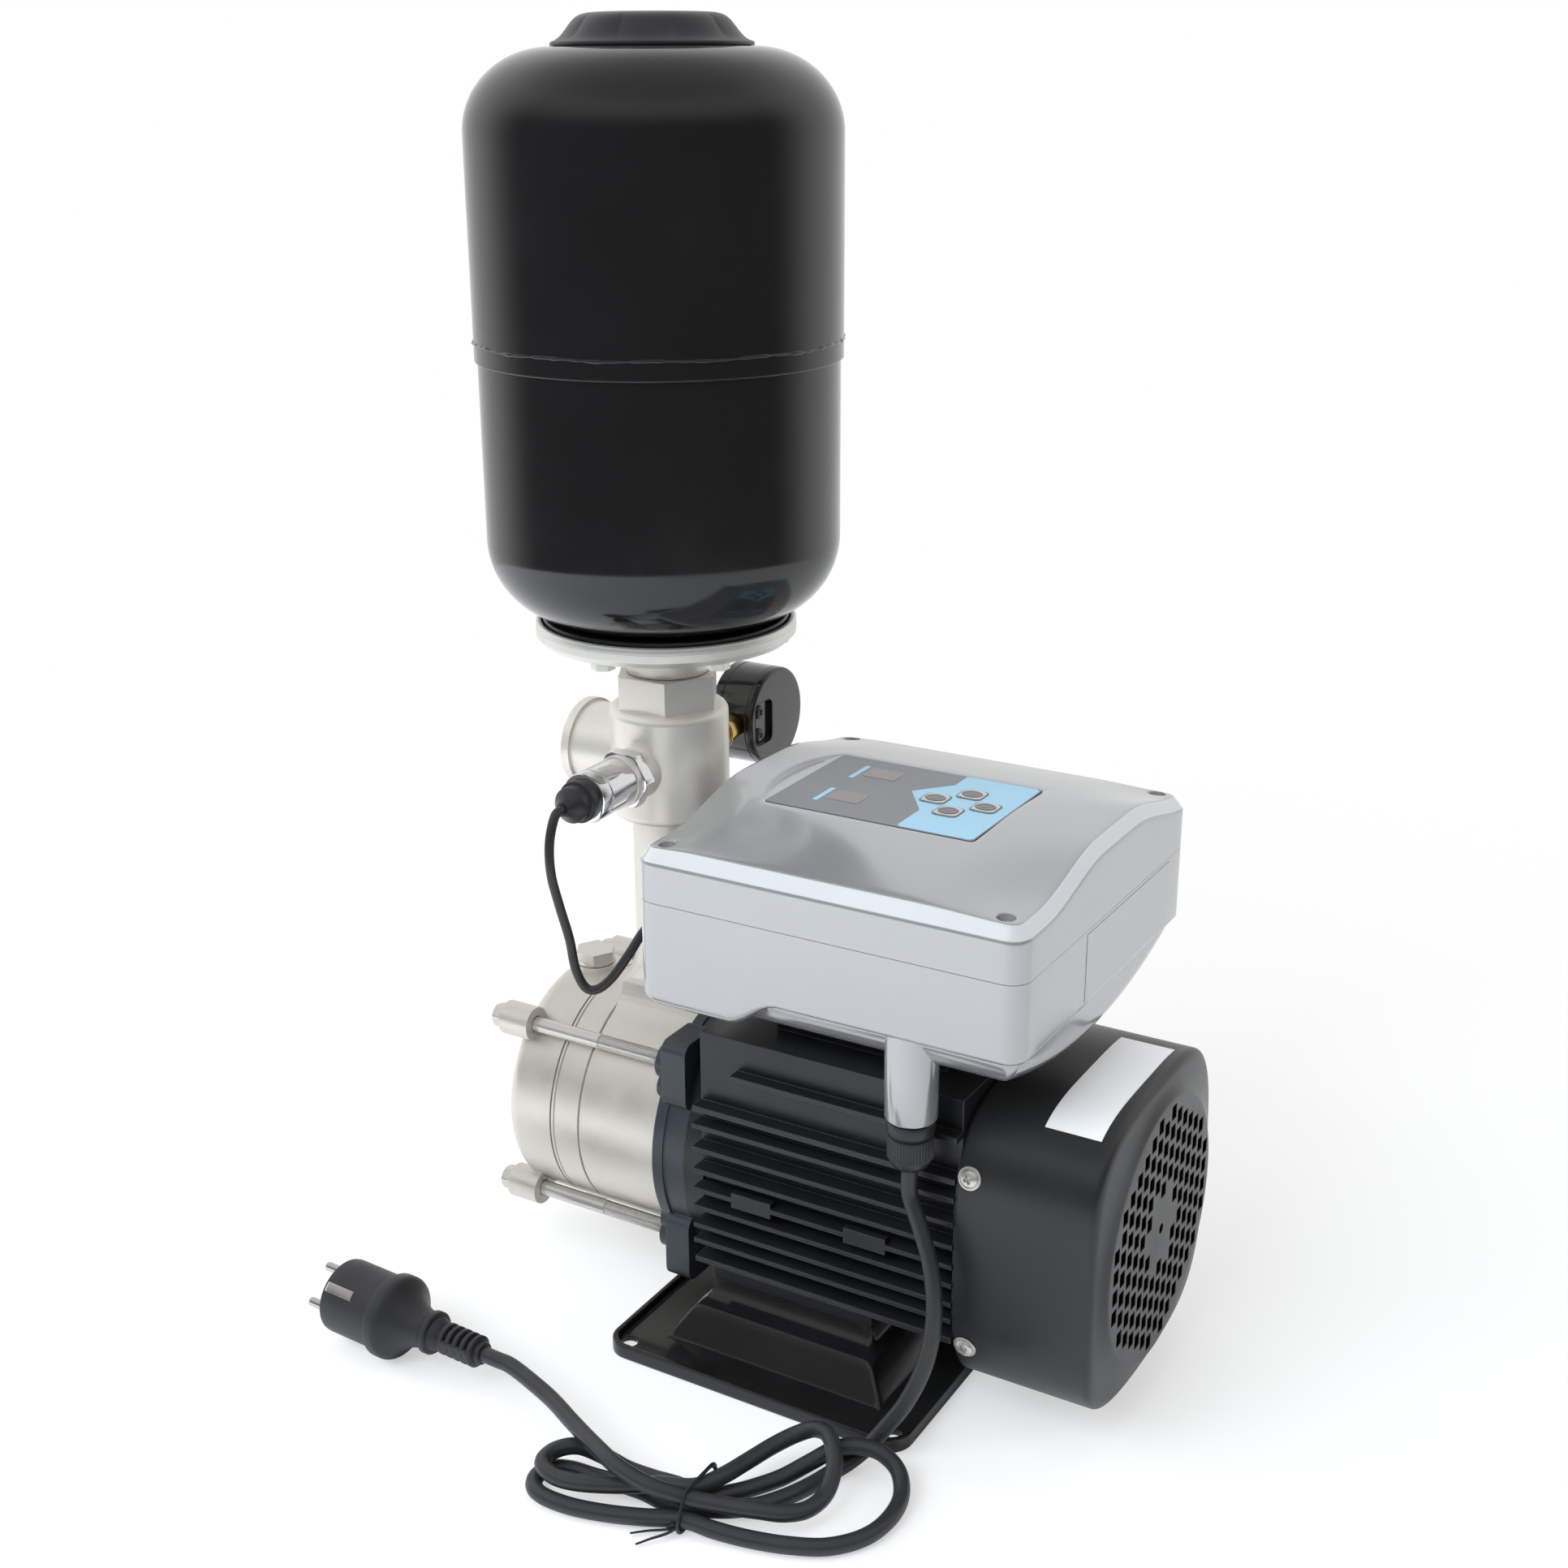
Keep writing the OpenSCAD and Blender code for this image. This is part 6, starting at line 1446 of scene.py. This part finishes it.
def make_cap():
    """Air-valve cap: a flat-topped bell with ten grip lobes parted by fine creases."""
    bm = bmesh.new()
    place = Matrix.Translation((RISER_X, 0, box_mm("tank_cap")[0].z))
    outer = [
        (46, 0), (46, 1.1), (45.5, 1.7), (44, 2.2), (42.2, 3.4), (40.6, 5), (39, 7),
        (37.4, 9), (35.8, 10.8), (34, 12.2), (31.8, 13.2), (29, 13.8), (26, 14), (14, 14),
        (13.4, 13.7), (12.8, 13.6), (0, 13.6),
    ]
    steps, lobes, crease = 240, 10, 1.3
    rings = []
    for radius, height in outer:
        grip = math.sin(math.pi * min(1, max(0, (height - 1.6) / 12))) ** 0.6
        grip *= 1.0 if radius > 26 else 0.0

        def spot_of(angle):
            dip = crease * grip * (1 - abs(math.sin(lobes / 2 * angle + 0.5)) ** 0.55)
            return radius - dip, height

        rings.append(angled_ring(bm, place, steps if radius else 1, spot_of))
    bridge(bm, rings)
    under = [
        angled_ring(bm, place, steps, lambda angle: spot)
        for spot in ((28, 12), (33, 10.6), (38, 5.2), (43.8, 0.8), (44.4, 0))
    ]
    bridge(bm, under + rings[:1])
    bm.faces.new(under[0])
    stand_in("lobed_cap", bm, "tank_cap", 26)


def make_sensor():
    """Chromed pressure sensor with its hex, grooved body and black cord gland."""
    bm = bmesh.new()
    low, high = box_mm("pressure_sensor")
    gland_low = box_mm("sensor_gland")[0].y
    middle_z = (low.z + high.z) / 2
    seat_y = -36
    seat = along((RISER_X, seat_y, middle_z), (0, -1, 0))
    body_l = seat_y - low.y
    hex_head(bm, seat, 27, 7.0)
    lathe(bm, seat, [
        (0, -10), (6.5, -10), (6.5, 0.1), (9.5, 0.1), (9.5, 6.8), (11.6, 7.2), (12.3, 8.4),
        (12.5, 9.4), (12.5, body_l - 7.4), (12.1, body_l - 7), (12.1, body_l - 6.2),
        (12.5, body_l - 5.8), (12.5, body_l - 1.2), (12.0, body_l - 0.3), (11.0, body_l),
        (0, body_l),
    ], steps=96)
    stand_in("sensor_can", bm, "pressure_sensor", 30)
    bm = bmesh.new()
    far = along((RISER_X, low.y, middle_z), (0, -1, 0))
    length = low.y - gland_low
    share = length / 17.0
    lathe(bm, far, [
        (0, -0.2), (10.2, -0.2), (10.4, 0.4), (10.4, 5.2 * share), (10.0, 5.8 * share),
        (8.9, 6.1 * share), (8.8, 6.6 * share), (8.8, 10.8 * share), (8.3, 11.6 * share),
        (6.6, 12.8 * share), (4.2, 15.4 * share), (3.4, length), (0, length),
    ], steps=64)
    stand_in("sensor_cord_gland", bm, "sensor_gland", 30)


GAUGE_Y, GAUGE_Z = 84, 282.5


def make_gauge():
    """Gauge drum seen from its back: a rolled rim, a recess with two screws, a brass neck."""
    bm = bmesh.new()
    rim_x, back_x, dial_x = -118, -94.2, -109.25
    place = along((rim_x, GAUGE_Y, GAUGE_Z), (1, 0, 0))
    closed_lathe(bm, place, [
        (24.4, 3.4), (24.8, 0.6), (25.4, 0), (26.0, 0), (26.5, 0.6), (26.5, 5.2), (26.1, 5.5),
        (26.1, 6.0), (26.5, 6.3), (26.5, 21.6), (26.2, 21.9), (26.2, 22.3), (26.5, 22.6),
        (26.5, 24.7), (26.1, 25.5), (25.3, 25.95), (24.4, 26), (12, 26), (0, 26), (0, 11),
        (1.3, 11), (1.3, 9.9), (25.1, 9.9), (25.1, 3.4),
    ], 96)
    drum = stand_in("gauge_drum", bm, "gauge_case", 32, GAUGE_ENAMEL)
    cutter = bmesh.new()
    recess_place, recess = along((back_x, 70.5, GAUGE_Z), (1, 0, 0)), round_rect(17.5, 24, 4)
    prism(cutter, recess_place, recess, 0, 8)
    cut_with(drum, cutter)
    bm = bmesh.new()
    for z in (-6.4, 6.4):
        screw = along((back_x - 0.2, 67.5, GAUGE_Z + z), (1, 0, 0), 0.4)
        cross_head(bm, screw, 3.8, 2.4, 0.8)
    lip = [recess_place @ Vector((px, py, 2.0)) for px, py in recess]
    tube(bm, lip, 0.45, sides=8, closed=True)
    add_detail("gauge_back_screws", bm, "black_plastic", SLOTS["gloss_black_paint"])
    bm = bmesh.new()
    stem = along((RISER_X, 31, GAUGE_Z), (0, 1, 0))
    lathe(bm, stem, [
        (0, -3), (6.4, -3), (6.4, 6), (6.6, 6.2), (6.6, 7), (6.1, 7.4), (6.6, 7.8), (6.1, 8.4),
        (6.6, 9), (6.1, 9.6), (6.6, 10.2), (6.1, 10.8), (6.6, 11.4), (6.2, 12), (6.2, 30),
        (0, 30),
    ])
    hex_head(bm, along((RISER_X, 44, GAUGE_Z), (0, 1, 0), 0.3), 15, 10, 1.4)
    add_detail("gauge_brass_neck", bm, "valve_brass")
    bm = bmesh.new()
    for k in range(41):
        angle = math.radians(-135 + 270 * k / 40)
        inner_r, half = (19.2, 0.16) if k % 5 else (17.4, 0.35)
        turn = along((dial_x, GAUGE_Y, GAUGE_Z), (-1, 0, 0), angle)
        prism(bm, turn, [(-half, inner_r), (half, inner_r), (half, 21.4), (-half, 21.4)][::-1],
              -0.15, 0.06)
    add_detail("gauge_dial_marks", bm, "black_plastic")


make_lid()
make_lid_screws()
make_housing()
make_fan_cover()
make_cover_screws()
make_base()
make_sleeve()
make_tank()
make_flange_rim()
make_cap()
make_sensor()
make_gauge()


# Keypad

def add_print(name, outlines, lift, material):
    """Printed fields of the keypad, as thin plates on its foil."""
    bm = bmesh.new()
    for outline in outlines:
        prism(bm, Matrix.Identity(4), outline, PANEL_Z - 0.02, PANEL_Z + lift, 0.05)
    add_detail(name, bm, "keypad_foil", material)


def plates_at(places, *plate):
    """The same rounded plate at each place."""
    return [[(x + px, y + py) for px, py in round_rect(*plate)] for x, y in places]


def make_keypad_prints():
    """Blue field beside the keys, two windows and two caption bars."""
    add_print("keypad_blue_field", [[
        (80.4, 38.5), (78.3, 40.4), (41.6, 40.4), (41.6, 26.5), (27.2, 9.0), (42.2, -12.5),
        (42.2, -34.6), (44, -36.2), (78.6, -36.2), (80.4, -34.4),
    ][::-1]], 0.12, FIELD_BLUE)
    windows = plates_at(((4.5, 23.5), (4.5, -13.5)), 17.5, 13, 1.0, 3)
    add_print("display_windows", windows, 0.14, WINDOW_BROWN)
    bars = plates_at(((-7.6, 21.3), (-7.2, -15)), 2.6, 19, 0.4, 2)
    add_print("display_caption_bars", bars, 0.12, FIELD_BLUE)


make_keypad_prints()


def make_key(node):
    """Key: a dark frame, a bright pressed ring inside it and an oval dome."""
    low, high = box_mm(node)
    middle = (low + high) / 2
    body = body_of_node(node)
    place = Matrix.Translation((middle.x, middle.y, 0))
    frame_w, ring_w = 13.2, 11.8
    bm = bmesh.new()
    prism(bm, place, round_rect(frame_w, frame_w, 3.0), low.z, high.z - 0.55, 0.2)
    stand_in(node + "_frame", bm, node, 40)
    bm = bmesh.new()
    prism(bm, place, round_rect(ring_w, ring_w, 2.8), high.z - 0.9, high.z - 0.3, 0.25)
    add_detail(node + "_ring", bm, "key_grey", BRIGHT_DOME, body)
    bm = bmesh.new()
    top = high.z
    oval = Matrix.Diagonal((1.0, 0.84, 1.0, 1.0))
    lathe(bm, place @ oval, [
        (0, top - 0.8), (5.3, top - 0.8), (5.2, top - 0.2), (4.7, top - 0.02),
        (4.2, top - 0.06), (3.4, top - 0.26), (2.2, top - 0.2), (1.0, top - 0.1),
        (0, top - 0.08),
    ])
    add_detail(node + "_dome", bm, "key_grey", DOME_GREY, body)


for key_node in ("key_left", "key_right", "key_up", "key_down"):
    make_key(key_node)


# Labels

FILM_TUCK = 0.4


def sheet_film(name, grid, material, slot):
    """Film from a grid of points, with a rim turned in toward the surface it lies on."""
    bm = bmesh.new()
    made = [[bm.verts.new(outer) for outer, _ in line] for line in grid]
    down = {v: inner for vs, line in zip(made, grid) for v, (_, inner) in zip(vs, line)}
    for i in range(len(grid) - 1):
        for j in range(len(grid[0]) - 1):
            bm.faces.new((made[i][j], made[i + 1][j], made[i + 1][j + 1], made[i][j + 1]))
    turned = bmesh.ops.extrude_edge_only(bm, edges=[e for e in bm.edges if e.is_boundary])
    for vert in [g for g in turned["geom"] if isinstance(g, bmesh.types.BMVert)]:
        near = min(down, key=lambda v: (v.co - vert.co).length_squared)
        vert.co = down[near]
    add_detail(name, bm, slot, material)


def cover_label():
    """Bare white label bent over the top of the fan cover."""
    start_x, label_w, start_y, label_l = 128.5, 27, -54, 91
    grid = []
    for i in range(9):
        x = start_x + label_w * i / 8
        line = []
        for j in range(61):
            y = start_y + label_l * j / 60
            z = COVER_MID + cover_reach(y)
            line.append(((x, y, z + 0.3), (x, y, z - FILM_TUCK)))
        grid.append(line)
    sheet_film("bare_cover_label", grid, LABEL_WHITE, "satin_black_paint")


def side_plate():
    """Bare plate area on the controller's end wall."""
    x = BOX_X + BOX_HALF_X
    start_y, plate_l, start_z, plate_h = -28, 102, 214, 33
    spots = [
        [(start_y + plate_l * i / 12, start_z + plate_h * j / 6) for j in range(7)]
        for i in range(13)
    ]
    grid = [[((x + 0.25, y, z), (x - FILM_TUCK, y, z)) for y, z in line] for line in spots]
    sheet_film("bare_rating_plate", grid, LABEL_SILVER, "grey_plastic")


cover_label()
side_plate()


# Studio

def make_floor():
    """Round white table that fades into the white room, and keeps the object's shadow."""
    floor_r, sunk = 1.3, 0.0005
    bm = bmesh.new()
    bmesh.ops.create_circle(bm, cap_ends=True, radius=floor_r, segments=96)
    mesh = bpy.data.meshes.new("studio_floor")
    bm.to_mesh(mesh)
    bm.free()
    floor = new_object("studio_floor", mesh)
    floor.location.z = -sunk
    made = bpy.data.materials.new("pale_studio_floor")
    made.use_nodes = True
    tree = made.node_tree
    tree.nodes.clear()
    matt = put(tree, "ShaderNodeBsdfDiffuse", Color=(0.88, 0.88, 0.88, 1))
    glow = put(tree, "ShaderNodeEmission", Color=(1, 1, 1, 1), Strength=1.0)
    path = put(tree, "ShaderNodeLightPath")
    far = vector_maths(tree, "LENGTH", "Value", object_spot(tree))
    fade = ramp(tree, far, 0.25, 0.95, 0.5, 1.0)
    share = maths(tree, "MULTIPLY", path.outputs["Is Camera Ray"], fade)
    both = put(
        tree, "ShaderNodeMixShader", _0=share, _1=matt.outputs[0], _2=glow.outputs[0],
    )
    put(tree, "ShaderNodeOutputMaterial", Surface=both.outputs[0])
    mesh.materials.append(made)


def make_world():
    """White backdrop to the camera; to all else the same room with a dim low front."""
    world = bpy.data.worlds.new("studio_room")
    bpy.context.scene.world = world
    world.use_nodes = True
    tree = world.node_tree
    tree.nodes.clear()
    spot = put(tree, "ShaderNodeTexCoord").outputs["Generated"]
    toward = vector_maths(tree, "DOT_PRODUCT", "Value", spot, (0.42, -0.82, -0.1))
    front = ramp(tree, toward, -0.45, 0.2)
    rise = put(tree, "ShaderNodeSeparateXYZ", Vector=spot).outputs["Z"]
    dim = maths(tree, "MULTIPLY", front, ramp(tree, rise, 0.2, 0.75, 1.0, 0.25))
    room = put(tree, "ShaderNodeMapRange", Value=dim, To_Min=0.82, To_Max=0.14).outputs[0]
    ceiling = maths(tree, "MULTIPLY", room, ramp(tree, rise, 0.55, 1.0, 1.0, 0.6))
    path = put(tree, "ShaderNodeLightPath")
    mirrored = maths(
        tree, "MAXIMUM", path.outputs["Is Glossy Ray"], path.outputs["Is Transmission Ray"],
    )
    backdrop = maths(
        tree, "MULTIPLY", ceiling, maths(tree, "MULTIPLY_ADD", mirrored, 0.08, 1.0),
    )
    strength = put(
        tree, "ShaderNodeMix", {"data_type": "FLOAT"}, _0=path.outputs["Is Camera Ray"],
        _2=backdrop, _3=1.0,
    )
    back = put(tree, "ShaderNodeBackground", Color=(1, 1, 1, 1))
    tree.links.new(strength.outputs[0], back.inputs["Strength"])
    put(tree, "ShaderNodeOutputWorld", Surface=back.outputs[0])


def add_lamp(name, place, target, size, power, colour=(1, 1, 1)):
    """Soft area lamp that glossy surfaces don't mirror; they mirror the room."""
    data = bpy.data.lights.new(name, "AREA")
    data.shape = "RECTANGLE"
    data.size, data.size_y = size
    data.energy = power
    data.color = colour
    lamp = new_object(name, data)
    lamp.location = place
    lamp.rotation_euler = (Vector(target) - Vector(place)).to_track_quat("-Z", "Y").to_euler()
    lamp.visible_glossy = False


make_floor()
make_world()
add_lamp("left_window", (-1.9, -0.9, 1.2), (0, 0, 0.25), (1.2, 1.6), 24)
add_lamp("front_window", (-0.5, -1.8, 1.75), (0, 0, 0.2), (1.6, 1.2), 48, (0.85, 0.935, 1.0))
add_lamp("top_softbox", (0.3, -0.3, 2.3), (0, 0, 0.2), (1.6, 1.6), 10)
add_lamp("right_softbox", (2.0, 0.5, 1.1), (0, 0, 0.25), (1.0, 1.4), 12)

bpy.context.scene.view_settings.view_transform = "Standard"
